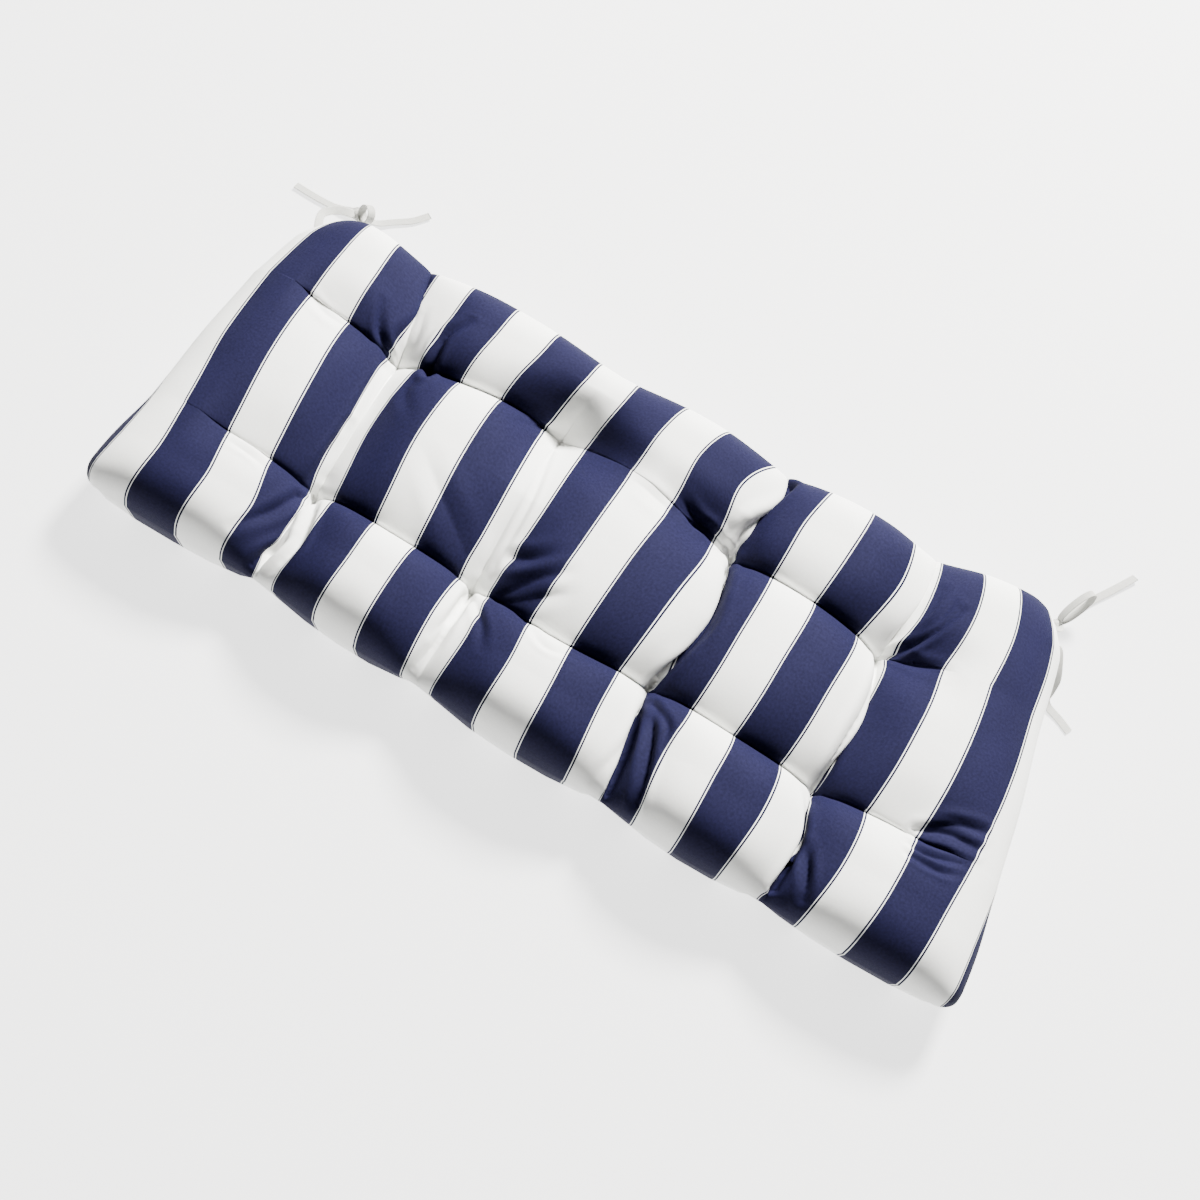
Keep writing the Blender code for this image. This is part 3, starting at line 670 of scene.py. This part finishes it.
def on_seam(along, across):
    """True for the places on the seam."""
    return from_seam(along, across) == 0.0


def cloth_places(points, along, across):
    """Where each point lies on the flat cloth. Stripes from the middle one: a straight share of
    each lobe, with half a crease's tuck added at each side of it and falling off by
    exp(-distance / spread). Metres behind the front seam: by the length travelled over it."""
    lobe = np.clip(np.floor(along).astype(int), 0, LOBES_ALONG - 1)
    share = along - lobe
    lines_left, lines_right = (
        np.stack([smooth_through(row[1:], 2.0 * across) for row in side])
        for side in (CLOTH_NET[0::2], CLOTH_NET[1::2])
    )
    half_tuck = (lines_right - lines_left) / 2.0
    index = np.indices(along.shape)
    here, after = (lobe, *index), (lobe + 1, *index)
    stripes = (
        lines_right[here]
        + (lines_left[after] - lines_right[here]) * share
        - half_tuck[here] * np.exp(-share / CLOTH_TUCK)
        + half_tuck[after] * np.exp((share - 1.0) / CLOTH_TUCK)
    )
    step = np.linalg.norm(np.diff(points, axis=1), axis=-1)
    gone = np.concatenate([np.zeros((len(points), 1)), np.cumsum(step, axis=1)], axis=1)
    row = np.minimum(np.arange(points.shape[1]) // STEPS_ACROSS_LOBE, LOBES_ACROSS - 1)
    first = gone[:, row * STEPS_ACROSS_LOBE]
    last = gone[:, (row + 1) * STEPS_ACROSS_LOBE]
    back = np.asarray(CLOTH_ROWS)
    behind = back[row] + (back[row + 1] - back[row]) * (gone - first) / (last - first)
    return stripes, behind


# ---------------------------------------------------------------- settling the cloth
def settled(points, pinned, loose):
    """The upper panel after its slack cloth has settled over the filling, by Blender's cloth.
    pinned holds the creases and the seam, and loose says where the cloth has most slack."""
    count_along, count_across = points.shape[:2]
    index = np.arange(count_along * count_across).reshape(count_along, count_across)
    mesh = bpy.data.meshes.new("settling")
    mesh.from_pydata(points.reshape(-1, 3).tolist(), [], grid_faces(index).tolist())
    panel = bpy.data.objects.new("settling", mesh)
    bpy.context.scene.collection.objects.link(panel)
    for name, weights in (("pinned", pinned), ("loose", loose)):
        group = panel.vertex_groups.new(name=name)
        levels = np.round(weights.ravel() * WEIGHT_LEVELS).astype(int)
        for level in range(1, WEIGHT_LEVELS + 1):
            at_level = np.nonzero(levels == level)[0].tolist()
            group.add(at_level, level / WEIGHT_LEVELS, "REPLACE")
    modifier = panel.modifiers.new("cloth", "CLOTH")
    cloth = modifier.settings
    cloth.quality = 5
    cloth.mass = 0.0015
    cloth.tension_stiffness = 12.0
    cloth.compression_stiffness = 12.0
    cloth.shear_stiffness = 4.0
    cloth.bending_stiffness = 0.15
    cloth.tension_damping = 2.0
    cloth.compression_damping = 2.0
    cloth.shear_damping = 2.0
    cloth.bending_damping = 0.1
    cloth.air_damping = 4.0
    cloth.use_pressure = True
    cloth.uniform_pressure_force = 4.0
    cloth.effector_weights.gravity = 0.0
    cloth.vertex_group_mass = "pinned"
    cloth.pin_stiffness = 1.0
    cloth.vertex_group_shrink = "loose"
    cloth.shrink_min = -0.004
    cloth.shrink_max = -0.006
    modifier.collision_settings.use_collision = False
    modifier.point_cache.frame_start = 1
    modifier.point_cache.frame_end = SETTLE_FRAMES
    scene = bpy.context.scene
    for number in range(1, SETTLE_FRAMES + 1):
        scene.frame_set(number)
    found = panel.evaluated_get(bpy.context.evaluated_depsgraph_get()).to_mesh()
    moved = np.empty(len(found.vertices) * 3)
    found.vertices.foreach_get("co", moved)
    bpy.data.objects.remove(panel)
    bpy.data.meshes.remove(mesh)
    scene.frame_set(1)
    step = moved.reshape(points.shape) - points
    length = np.linalg.norm(step, axis=-1, keepdims=True)
    return step * SETTLE_REACH * np.tanh(length / SETTLE_REACH) / np.maximum(length, 1e-9)


def crease_hold(along, across):
    """How firmly each point is held as the cloth settles: 1 on the seam, and beside a crease
    its keenness times exp(-(distance / spread)^2)."""
    line = along_crease(LINE_KEENNESS, along, across, 1.0)
    row = along_crease(ROW_KEENNESS, across, along, 1.0)
    line = line * np.exp(-(((along - np.rint(along)) / LINE_HOLD) ** 2))
    row = row * np.exp(-(((across - np.rint(across)) / ROW_HOLD) ** 2))
    return np.where(on_seam(along, across), 1.0, np.clip(np.maximum(line, row), 0.0, 1.0))


def evened(grid, times):
    """A grid with each inner value mixed with its neighbours, which takes small lumps out."""
    grid = grid.copy()
    for _ in range(times):
        grid[1:-1] = grid[1:-1] / 2.0 + (grid[:-2] + grid[2:]) / 4.0
        grid[:, 1:-1] = grid[:, 1:-1] / 2.0 + (grid[:, :-2] + grid[:, 2:]) / 4.0
    return grid


def settled_panel(sizes, along, across, upper):
    """The upper panel, moved as a coarser copy of it has settled."""
    coarse = lobe_grid(SETTLE_STEPS, SETTLE_STEPS)
    shape, _ = cushion_panels(sizes, *coarse)
    from_long_seam = np.minimum(coarse[1], LOBES_ACROSS - coarse[1])
    slack = np.exp(-((from_long_seam / SLACK_REACH) ** 2))
    moved = evened(settled(shape, crease_hold(*coarse), slack), SETTLE_EVENINGS)
    known = (coarse[0][:, 0], coarse[1][0])
    for axis, places in enumerate((along[:, 0], across[0])):
        wanted = np.interp(places, known[axis], np.arange(known[axis].size))
        moved = np.moveaxis(smooth_through(np.moveaxis(moved, axis, 0), wanted), 0, axis)
    return upper + moved


def outward(points):
    """Unit normals of a grid of points."""
    normal = np.cross(np.gradient(points, axis=0), np.gradient(points, axis=1))
    return normal / np.maximum(np.linalg.norm(normal, axis=-1, keepdims=True), 1e-12)


def folded(points, along, across):
    """The panel with its folds pressed in along its normals. At a distance of d widths from a
    fold's line the cloth falls by exp(-d) - exp(-((d - rim) / spread)^2) / 3 of the depth."""
    travel = np.linspace(0.0, 2.0, FOLD_PLACES)
    fall = np.zeros_like(along)
    for _, wide, deep, start, end, *places in FOLDS:
        width = wide / 1000.0
        u, v = smooth_through(places, travel).T
        share = smooth_through([(start,), (1.0,), (end,)], travel)[:, 0]
        depth = share * deep / 1000.0
        reach_u, reach_v = FOLD_REACH * width / LOBE_LENGTH, FOLD_REACH * width / LOBE_DEPTH
        near = (
            (along > u.min() - reach_u)
            & (along < u.max() + reach_u)
            & (across > v.min() - reach_v)
            & (across < v.max() + reach_v)
        )
        aside = np.hypot(
            (along[near][:, None] - u) * LOBE_LENGTH, (across[near][:, None] - v) * LOBE_DEPTH
        )
        nearest = aside.argmin(axis=1)
        d = aside.min(axis=1) / width
        rim = np.exp(-(((d - FOLD_RIM) / FOLD_RIM_SPREAD) ** 2))
        fall[near] += depth[nearest] * (np.exp(-d) - rim / 3.0)
    fall *= np.clip(from_seam(along, across) / FOLD_FADE, 0.0, 1.0)
    return points - outward(points) * fall[..., None]


# ---------------------------------------------------------------- materials
OBJECT_COORDINATES = 3  # output of a Texture Coordinate node


class Wire:
    """A socket that can stand in an expression. Each operator adds its Math node."""

    def __init__(self, finish, socket):
        self.finish = finish
        self.socket = socket

    def maths(self, operation, *values):
        """What a Math node makes of the values."""
        return self.finish.node(
            "ShaderNodeMath", {"operation": operation}, dict(enumerate(values))
        )

    def __add__(self, other):
        return self.maths("ADD", self, other)

    def __sub__(self, other):
        return self.maths("SUBTRACT", self, other)

    def __mul__(self, other):
        return self.maths("MULTIPLY", self, other)

    def __radd__(self, other):
        return self.maths("ADD", other, self)

    def __rsub__(self, other):
        return self.maths("SUBTRACT", other, self)

    def __rmul__(self, other):
        return self.maths("MULTIPLY", other, self)

    def __abs__(self):
        return self.maths("ABSOLUTE", self)

    def sine(self):
        return self.maths("SINE", self)

    def fold_back(self, width):
        """0 to width and back again, as a zigzag."""
        return self.maths("PINGPONG", self, width)

    def ramp(self, low, high):
        """0 below low, 1 above high, straight between them."""
        return self.finish.node(
            "ShaderNodeMapRange", {"clamp": True}, {"Value": self, "From Min": low, "From Max": high}
        )


class Finish:
    """A new material whose nodes come from one method."""

    def __init__(self, name):
        self.material = bpy.data.materials.new(name)
        self.material.use_nodes = True
        self.tree = self.material.node_tree
        self.shader = self.tree.nodes["Principled BSDF"]

    def node(self, kind, settings=(), values=(), output=0):
        """Add a node, set its settings, then give its sockets their values or links."""
        new = self.tree.nodes.new(kind)
        for name, value in dict(settings).items():
            setattr(new, name, value)
        for name, value in dict(values).items():
            self.give(new.inputs[name], value)
        return Wire(self, new.outputs[output])

    def give(self, socket, value):
        """Link a wire to a socket, or set the socket's own value."""
        if isinstance(value, Wire):
            self.tree.links.new(value.socket, socket)
        else:
            socket.default_value = value

    def surface(self, **values):
        """The material, with these values or links in its shader's sockets."""
        for name, value in values.items():
            self.give(self.shader.inputs[name.replace("_", " ")], value)
        return self.material

    def mix(self, share, first, second):
        """A colour between two others. A Mix node has its colours at inputs 6 and 7."""
        new = self.tree.nodes.new("ShaderNodeMix")
        new.data_type = "RGBA"
        for place, value in ((0, share), (6, first), (7, second)):
            self.give(new.inputs[place], value)
        return Wire(self, new.outputs[2])

    def noise(self, place, scale, detail):
        values = {"Vector": place, "Scale": scale, "Detail": detail}
        return self.node("ShaderNodeTexNoise", {}, values)

    def flat_cloth(self):
        """Places on the flat cloth, in metres."""
        return self.node("ShaderNodeUVMap", {"uv_map": "cloth"})

    def parts(self, vector):
        """The X and Y parts of a vector."""
        new = self.tree.nodes.new("ShaderNodeSeparateXYZ")
        self.give(new.inputs[0], vector)
        return Wire(self, new.outputs[0]), Wire(self, new.outputs[1])


def shade(colour, times):
    """A colour made so many times as bright, with full alpha."""
    return (*np.clip(np.array(colour) * times, 0.0, 1.0), 1.0)


def weave(finish, place, strength):
    """Bump of a plain weave: half of sin(turn x) sin(turn y), one turn to a thread's pitch, and
    slubs as noise."""
    x, y = finish.parts(place)
    turn = 2.0 * math.pi / THREAD_PITCH
    threads = (x * turn).sine() * (y * turn).sine()
    slubs = finish.noise(place, 420.0, 3.0)
    return finish.node(
        "ShaderNodeBump",
        {},
        {"Height": threads * 0.5 + slubs, "Strength": strength, "Distance": 0.0004},
    )


def striped_cloth(sizes, colours):
    """Woven stripes read from the cloth's own map, a fine dark line beside each dark stripe."""
    finish = Finish("striped cloth")
    place = finish.flat_cloth()
    x, _ = finish.parts(place)
    width = sizes.stripe_width
    into_dark = x.fold_back(width) - width / 2.0
    stripe = into_dark.ramp(-EDGE_BLUR, EDGE_BLUR)
    from_line = abs(into_dark + PINSTRIPE_PLACE)
    beside = from_line.ramp(PINSTRIPE_HALF_WIDTH - EDGE_BLUR, PINSTRIPE_HALF_WIDTH + EDGE_BLUR)
    dark = stripe.maths("MAXIMUM", stripe, 1.0 - beside)
    grain, clouds = finish.noise(place, 330.0, 4.0), finish.noise(place, 14.0, 3.0)
    tone = (grain * 0.7 + clouds * 0.3).ramp(0.3, 0.7)
    deep = finish.mix(tone, shade(colours.navy, 0.72), shade(colours.navy, 1.3))
    pale = finish.mix(tone, shade(colours.white, 0.965), shade(colours.white, 1.03))
    return finish.surface(
        Base_Color=finish.mix(dark, pale, deep),
        Roughness=0.82 - tone * 0.1,
        Normal=weave(finish, place, 0.35),
        Specular_IOR_Level=0.08,
    )


def tie_cloth(colours):
    """Plain woven cloth of the ties."""
    finish = Finish("tie cloth")
    place = finish.flat_cloth()
    tone = finish.noise(place, 300.0, 4.0).ramp(0.3, 0.7)
    return finish.surface(
        Base_Color=finish.mix(tone, shade(colours.tie, 0.93), shade(colours.tie, 1.04)),
        Roughness=0.85 - tone * 0.08,
        Normal=weave(finish, place, 0.3),
        Specular_IOR_Level=0.08,
    )


def floor_paint(colours):
    """Matt floor, a little uneven, that glows so that it stays pale in the shade."""
    finish = Finish("floor paint")
    place = finish.node("ShaderNodeTexCoord", output=OBJECT_COORDINATES)
    spread = finish.noise(place, 3.0, 2.0)
    return finish.surface(
        Base_Color=finish.mix(spread, shade(colours.floor, 0.99), shade(colours.floor, 1.0)),
        Roughness=0.9,
        Emission_Color=(1.0, 1.0, 1.0, 1.0),
        Emission_Strength=2.4,
    )


# ---------------------------------------------------------------- meshes
def mesh_object(name, points, faces, material, places):
    """A smooth mesh at the origin, with the flat place of each face corner in its own map."""
    mesh = bpy.data.meshes.new(name)
    mesh.from_pydata(points.tolist(), [], faces)
    layer = mesh.uv_layers.new(name="cloth")
    layer.data.foreach_set("uv", places.astype(np.float32).ravel())
    mesh.materials.append(material)
    mesh.shade_smooth()
    made = bpy.data.objects.new(name, mesh)
    bpy.context.scene.collection.objects.link(made)
    return made


def grid_faces(index):
    """Quads between the points of a grid, whose numbers index holds, as seen from above."""
    quads = np.stack([index[:-1, :-1], index[1:, :-1], index[1:, 1:], index[:-1, 1:]], -1)
    return quads.reshape(-1, 4)


def lower_faces(fine, coarse, step):
    """Faces of the lower panel, as seen from above. Inside it they are quads of the coarse grid,
    and along the seam they take in each of the upper panel's points."""
    faces = grid_faces(coarse[1:-1, 1:-1]).tolist()
    last_u, last_v = coarse.shape[0] - 2, coarse.shape[1] - 2
    for i in range(last_u + 1):
        for j in range(last_v + 1):
            if 0 < i < last_u and 0 < j < last_v:
                continue
            u, v = i * step, j * step
            front = fine[u + 1 : u + step, 0] if j == 0 else fine[:0, 0]
            right = fine[-1, v + 1 : v + step] if i == last_u else fine[:0, 0]
            back = fine[u + 1 : u + step, -1][::-1] if j == last_v else fine[:0, 0]
            left = fine[0, v + 1 : v + step][::-1] if i == 0 else fine[:0, 0]
            corners = coarse[[i, i + 1, i + 1, i], [j, j, j + 1, j + 1]]
            sides = zip(corners, (front, right, back, left))
            faces.append([int(n) for corner, side in sides for n in (corner, *side)])
    return faces


# ---------------------------------------------------------------- ties
def back_corner(sizes, side):
    """The middle of a rounded back corner, at the seat's height."""
    along = 0.0 if side == "left" else float(LOBES_ALONG)
    x, y = seam_plan(sizes, along, float(LOBES_ACROSS))
    return np.array((x.item(), y.item(), 0.0))


def strap_root(sizes, place):
    """The first points of a strap, which leaves the seam square to it."""
    along, across = place
    xs, ys = seam_plan(sizes, np.full(2, along), np.array((across - SEAM_PIECE, across)))
    heading = np.array((xs[1] - xs[0], ys[1] - ys[0], 0.0))
    outward = np.cross(heading, (0.0, 0.0, 1.0))
    outward *= math.copysign(1.0, outward[0] * xs[1]) / np.linalg.norm(outward)
    seam = np.array((xs[1], ys[1], sizes.seam_height))
    return [[*(seam + outward * reach), roll] for reach, roll in STRAP_START]


def even_path(points, step):
    """A Catmull-Rom line through the points, with a section at every step of its length."""
    points = np.asarray(points, float)
    fine = np.linspace(0.0, len(points) - 1.0, PATH_PLACES * len(points))
    line = np.stack([smooth_through(points[:, k], fine) for k in range(points.shape[1])], -1)
    gaps = np.linalg.norm(np.diff(line[:, :3], axis=0), axis=1)
    travelled = np.concatenate([[0.0], np.cumsum(gaps)])
    wanted = np.linspace(0.0, travelled[-1], round(travelled[-1] / step) + 1)
    return np.stack([np.interp(wanted, travelled, column) for column in line.T], -1)


def ribbon(name, line, wide, thick, width, thickness, material, closed=False):
    """A folded strip: a rounded oblong section carried along line. The section is
    (sign(cos) |cos|^0.4, sign(sin) |sin|^0.7) times half its width and thickness. The thickness
    also goes by 0.78 + 0.22 |across|^6, so that the two hems are thicker than the middle."""
    count = len(line)
    angle = np.linspace(0.0, 2.0 * math.pi, SECTION_POINTS, endpoint=False)
    over = np.sign(np.cos(angle)) * np.abs(np.cos(angle)) ** 0.4
    up = np.sign(np.sin(angle)) * np.abs(np.sin(angle)) ** 0.7
    up = up * (0.78 + 0.22 * np.abs(over) ** 6)
    rings = (
        line[:, None]
        + wide[:, None] * (width / 2.0) * over[None, :, None]
        + thick[:, None] * (thickness / 2.0) * up[None, :, None]
    )
    index = np.arange(count * SECTION_POINTS).reshape(count, SECTION_POINTS)
    index = np.concatenate([index, index[:, :1]], axis=1)
    if closed:
        index = np.concatenate([index, index[:1]], axis=0)
    faces = grid_faces(index)[:, ::-1].tolist()
    step = np.linalg.norm(np.diff(line, axis=0), axis=1)
    travelled = np.concatenate([[0.0], np.cumsum(step)])
    if closed:
        travelled = np.append(travelled, travelled[-1] + step[-1])
    flat_over = np.append(over, over[0]) * width / 2.0
    place = np.stack(np.broadcast_arrays(travelled[:, None], flat_over[None]), -1)
    columns = SECTION_POINTS + 1
    corner = np.arange(len(travelled) * columns).reshape(len(travelled), columns)
    places = place.reshape(-1, 2)[grid_faces(corner)[:, ::-1]].reshape(-1, 2)
    points = rings.reshape(-1, 3)
    if not closed:
        ring = np.arange(SECTION_POINTS)
        faces += [ring.tolist(), (ring[::-1] + (count - 1) * SECTION_POINTS).tolist()]
        end = np.stack([np.zeros(SECTION_POINTS), flat_over[:-1]], -1)
        places = np.concatenate([places, end, end[::-1]])
    return mesh_object(name, points, faces, material, places)


def ribbon_frame(path):
    """The way across a ribbon and the way through it, from its line and its roll."""
    line, roll = path[:, :3], np.radians(path[:, 3])[:, None]
    tangent = np.gradient(line, axis=0)
    tangent /= np.linalg.norm(tangent, axis=1)[:, None]
    level = np.cross(tangent, (0.0, 0.0, 1.0))
    level /= np.linalg.norm(level, axis=1)[:, None]
    upright = np.cross(level, tangent)
    wide = level * np.cos(roll) + upright * np.sin(roll)
    return wide, np.cross(wide, tangent)


def knot_middle(sizes, side):
    """The middle of the knot beside a back corner."""
    return back_corner(sizes, side) + np.array(KNOTS[side][:3])


# ---------------------------------------------------------------- operators
def shown_sizes(context):
    return context.scene.bench_cushion_sizes


def shown_colours(context):
    return context.scene.bench_cushion_colours


class BENCH_OT_cushion(bpy.types.Operator):
    """Sew, fill and tuft the striped cushion"""

    bl_idname = "bench.cushion"
    bl_label = "Cushion"

    def execute(self, context):
        sizes, colours = shown_sizes(context), shown_colours(context)
        along, across = lobe_grid(STEPS_ALONG_LOBE, STEPS_ACROSS_LOBE)
        upper, lower = cushion_panels(sizes, along, across)
        stripes, behind = cloth_places(upper, along, across)
        upper = settled_panel(sizes, along, across, upper)
        upper = folded(upper, along, across)
        # The lower panel is coarser, and along the seam it has the upper one's points.
        fine = np.arange(along.size).reshape(along.shape)
        below = (slice(None, None, STEPS_BELOW), slice(None, None, STEPS_BELOW))
        coarse = fine[below].copy()
        inside = ~on_seam(along[below], across[below])
        coarse[inside] = along.size + np.arange(np.count_nonzero(inside))
        points = np.concatenate([upper.reshape(-1, 3), lower[below][inside]])
        flat = np.stack([stripes * sizes.stripe_width, behind], -1)
        flat = np.concatenate([flat.reshape(-1, 2), flat[below][inside]])
        faces = grid_faces(fine).tolist()
        faces += [face[::-1] for face in lower_faces(fine, coarse, STEPS_BELOW)]
        places = flat[np.concatenate(faces)]
        cushion = mesh_object(
            "cushion_cover", points, faces, striped_cloth(sizes, colours), places
        )
        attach(cushion, "root")
        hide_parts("cushion")
        return {"FINISHED"}


class BENCH_OT_ties(bpy.types.Operator):
    """Sew on the fabric ties and knot them"""

    bl_idname = "bench.ties"
    bl_label = "Ties"

    def execute(self, context):
        sizes = shown_sizes(context)
        material = tie_cloth(shown_colours(context))
        for side, row in KNOTS.items():
            self.knot(sizes, side, material)
            self.loop(sizes, side, material)
        for name, rows in TIE_PATHS.items():
            side = name.split("_")[0]
            corner = back_corner(sizes, side)
            points = [[*(corner + row[:3]), row[3]] for row in rows]
            if name in STRAP_ROOTS:
                points = strap_root(sizes, STRAP_ROOTS[name]) + points
            path = even_path(points, TIE_STEP)
            wide, thick = ribbon_frame(path)
            tie = ribbon(
                f"tie_{name}",
                path[:, :3],
                wide,
                thick,
                sizes.tie_width,
                sizes.tie_thickness,
                material,
            )
            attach(tie, "root")
            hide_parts(*TIE_NODES[name])
        return {"FINISHED"}

    def knot(self, sizes, side, material):
        """A ball with the radii of its knot, kept off the seat. At a turn t and an angle p from
        the top it stands out by 1 + 0.1 sin(3 t + 4 cos p) sin p."""
        radii = np.array(KNOTS[side][3:6])
        turn = math.radians(KNOTS[side][6])
        around, up = np.meshgrid(
            np.linspace(0.0, 2.0 * math.pi, KNOT_POINTS, endpoint=False),
            np.linspace(KNOT_POLE, math.pi - KNOT_POLE, KNOT_RINGS),
            indexing="ij",
        )
        ridge = 1.0 + 0.10 * np.sin(3.0 * around + 4.0 * np.cos(up)) * np.sin(up)
        ball = np.stack(
            [np.sin(up) * np.cos(around), np.sin(up) * np.sin(around), np.cos(up)], -1
        )
        ball = ball * ridge[..., None] * radii
        x = ball[..., 0] * math.cos(turn) - ball[..., 1] * math.sin(turn)
        y = ball[..., 0] * math.sin(turn) + ball[..., 1] * math.cos(turn)
        points = np.stack([x, y, ball[..., 2]], -1) + knot_middle(sizes, side)
        points[..., 2] = np.maximum(points[..., 2], KNOT_CLEARANCE)
        index = np.arange(around.size).reshape(around.shape)
        index = np.concatenate([index, index[:1]])
        faces = grid_faces(index)[:, ::-1]
        flat = np.stack([around, up], -1).reshape(-1, 2) * FLAT_KNOT
        knot = mesh_object(
            f"knot_{side}",
            points.reshape(-1, 3),
            faces.tolist(),
            material,
            flat[faces].reshape(-1, 2),
        )
        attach(knot, "root")
        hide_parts(f"tie_{side}_knot")
        return knot

    def loop(self, sizes, side, material):
        """An ellipse of ribbon that leaves its knot: centre + length cos + width sin."""
        half_length, half_width, *angles = LOOPS[side]
        turn, climb, tilt = (math.radians(angle) for angle in angles)
        ahead = np.array(
            (
                math.cos(turn) * math.cos(climb),
                math.sin(turn) * math.cos(climb),
                math.sin(climb),
            )
        )
        level = np.array((-math.sin(turn), math.cos(turn), 0.0))
        upright = np.cross(ahead, level)
        width_way = level * math.cos(tilt) + upright * math.sin(tilt)
        ring_way = np.cross(ahead, width_way)
        centre = knot_middle(sizes, side) + ahead * (half_length + LOOP_START)
        angle = np.linspace(0.0, 2.0 * math.pi, LOOP_POINTS, endpoint=False)[:, None]
        line = (
            centre
            + ahead * half_length * np.cos(angle)
            + ring_way * half_width * np.sin(angle)
        )
        outward = (
            ahead * half_width * np.cos(angle) + ring_way * half_length * np.sin(angle)
        )
        outward /= np.linalg.norm(outward, axis=1)[:, None]
        wide = np.broadcast_to(width_way, line.shape)
        loop = ribbon(
            f"loop_{side}",
            line,
            wide,
            outward,
            sizes.tie_width,
            sizes.tie_thickness,
            material,
            closed=True,
        )
        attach(loop, "root")
        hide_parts(f"tie_{side}_loop")
        return loop


class BENCH_OT_stage(bpy.types.Operator):
    """Set out the floor, the lights and the camera"""

    bl_idname = "bench.stage"
    bl_label = "Stage"

    def execute(self, context):
        colours = shown_colours(context)
        square = np.array([[-1.0, -1.0], [1.0, -1.0], [1.0, 1.0], [-1.0, 1.0]])
        corners = np.insert(square * FLOOR_HALF_WIDTH, 2, FLOOR_HEIGHT, axis=1)
        floor = mesh_object(
            "floor", corners, [[0, 1, 2, 3]], floor_paint(colours), corners[:, :2]
        )
        self.lights(context)
        self.camera(context)
        return {"FINISHED"}

    def lights(self, context):
        rows = (
            # name, watts, size, place, colour
            ("key", 1800.0, 1.10, (0.25, 3.55, 3.35), (1.0, 0.985, 0.955)),
            ("fill", 2.0, 2.5, (1.5, -1.6, 1.8), (0.93, 0.96, 1.0)),
        )
        for name, watts, size, place, colour in rows:
            lamp = bpy.data.lights.new(name, "AREA")
            lamp.energy, lamp.size, lamp.color = watts, size, colour
            lamp_object = bpy.data.objects.new(name, lamp)
            context.scene.collection.objects.link(lamp_object)
            lamp_object.location = place
            lamp_object.rotation_euler = Vector(place).to_track_quat("Z", "Y").to_euler()
        world = bpy.data.worlds.new("studio")
        world.use_nodes = True
        world.node_tree.nodes["Background"].inputs["Color"].default_value = (1, 1, 1, 1)
        world.node_tree.nodes["Background"].inputs["Strength"].default_value = 0.14
        context.scene.world = world

    def camera(self, context):
        """A long lens above the front edge, rolled so that the bench runs down to the right."""
        elevation = math.radians(CAMERA_ELEVATION)
        azimuth = math.radians(CAMERA_AZIMUTH)
        roll = math.radians(CAMERA_ROLL)
        ahead = np.array(
            (
                math.sin(azimuth) * math.cos(elevation),
                math.cos(azimuth) * math.cos(elevation),
                -math.sin(elevation),
            )
        )
        right = np.array((math.cos(azimuth), -math.sin(azimuth), 0.0))
        up = np.cross(right, ahead)
        across = right * math.cos(roll) + up * math.sin(roll)
        upward = up * math.cos(roll) - right * math.sin(roll)
        lens = bpy.data.cameras.new("camera")
        lens.sensor_width = SENSOR_WIDTH
        lens.lens = SENSOR_WIDTH * FOCAL_LENGTH / PICTURE_SIDE
        lens.shift_x = SHIFT_ACROSS / PICTURE_SIDE
        lens.shift_y = SHIFT_UP / PICTURE_SIDE
        lens.clip_start, lens.clip_end = 0.05, 50.0
        camera = bpy.data.objects.new("camera", lens)
        context.scene.collection.objects.link(camera)
        matrix = np.eye(4)
        place = np.array(CAMERA_AIM) - ahead * CAMERA_DISTANCE
        matrix[:3] = np.stack([across, upward, -ahead, place], -1)
        camera.matrix_world = Matrix(matrix.tolist())
        context.scene.camera = camera


class BENCH_PT_panel(bpy.types.Panel):
    """Sizes, colours and the pieces to build"""

    bl_label = "Bench Cushion"
    bl_space_type = "VIEW_3D"
    bl_region_type = "UI"
    bl_category = "Bench Cushion"

    def draw(self, context):
        for group in (shown_sizes(context), shown_colours(context)):
            for name in group.__annotations__:
                self.layout.prop(group, name)
        for operator in (BENCH_OT_cushion, BENCH_OT_ties, BENCH_OT_stage):
            self.layout.operator(operator.bl_idname)


CLASSES = (
    BenchCushionSizes,
    BenchCushionColours,
    BENCH_OT_cushion,
    BENCH_OT_ties,
    BENCH_OT_stage,
    BENCH_PT_panel,
)


def register():
    for cls in CLASSES:
        bpy.utils.register_class(cls)
    bpy.types.Scene.bench_cushion_sizes = PointerProperty(type=BenchCushionSizes)
    bpy.types.Scene.bench_cushion_colours = PointerProperty(type=BenchCushionColours)


def unregister():
    del bpy.types.Scene.bench_cushion_colours
    del bpy.types.Scene.bench_cushion_sizes
    for cls in reversed(CLASSES):
        bpy.utils.unregister_class(cls)


def main():
    register()
    bpy.ops.bench.cushion()
    bpy.ops.bench.ties()
    bpy.ops.bench.stage()


if __name__ == "__main__":
    main()
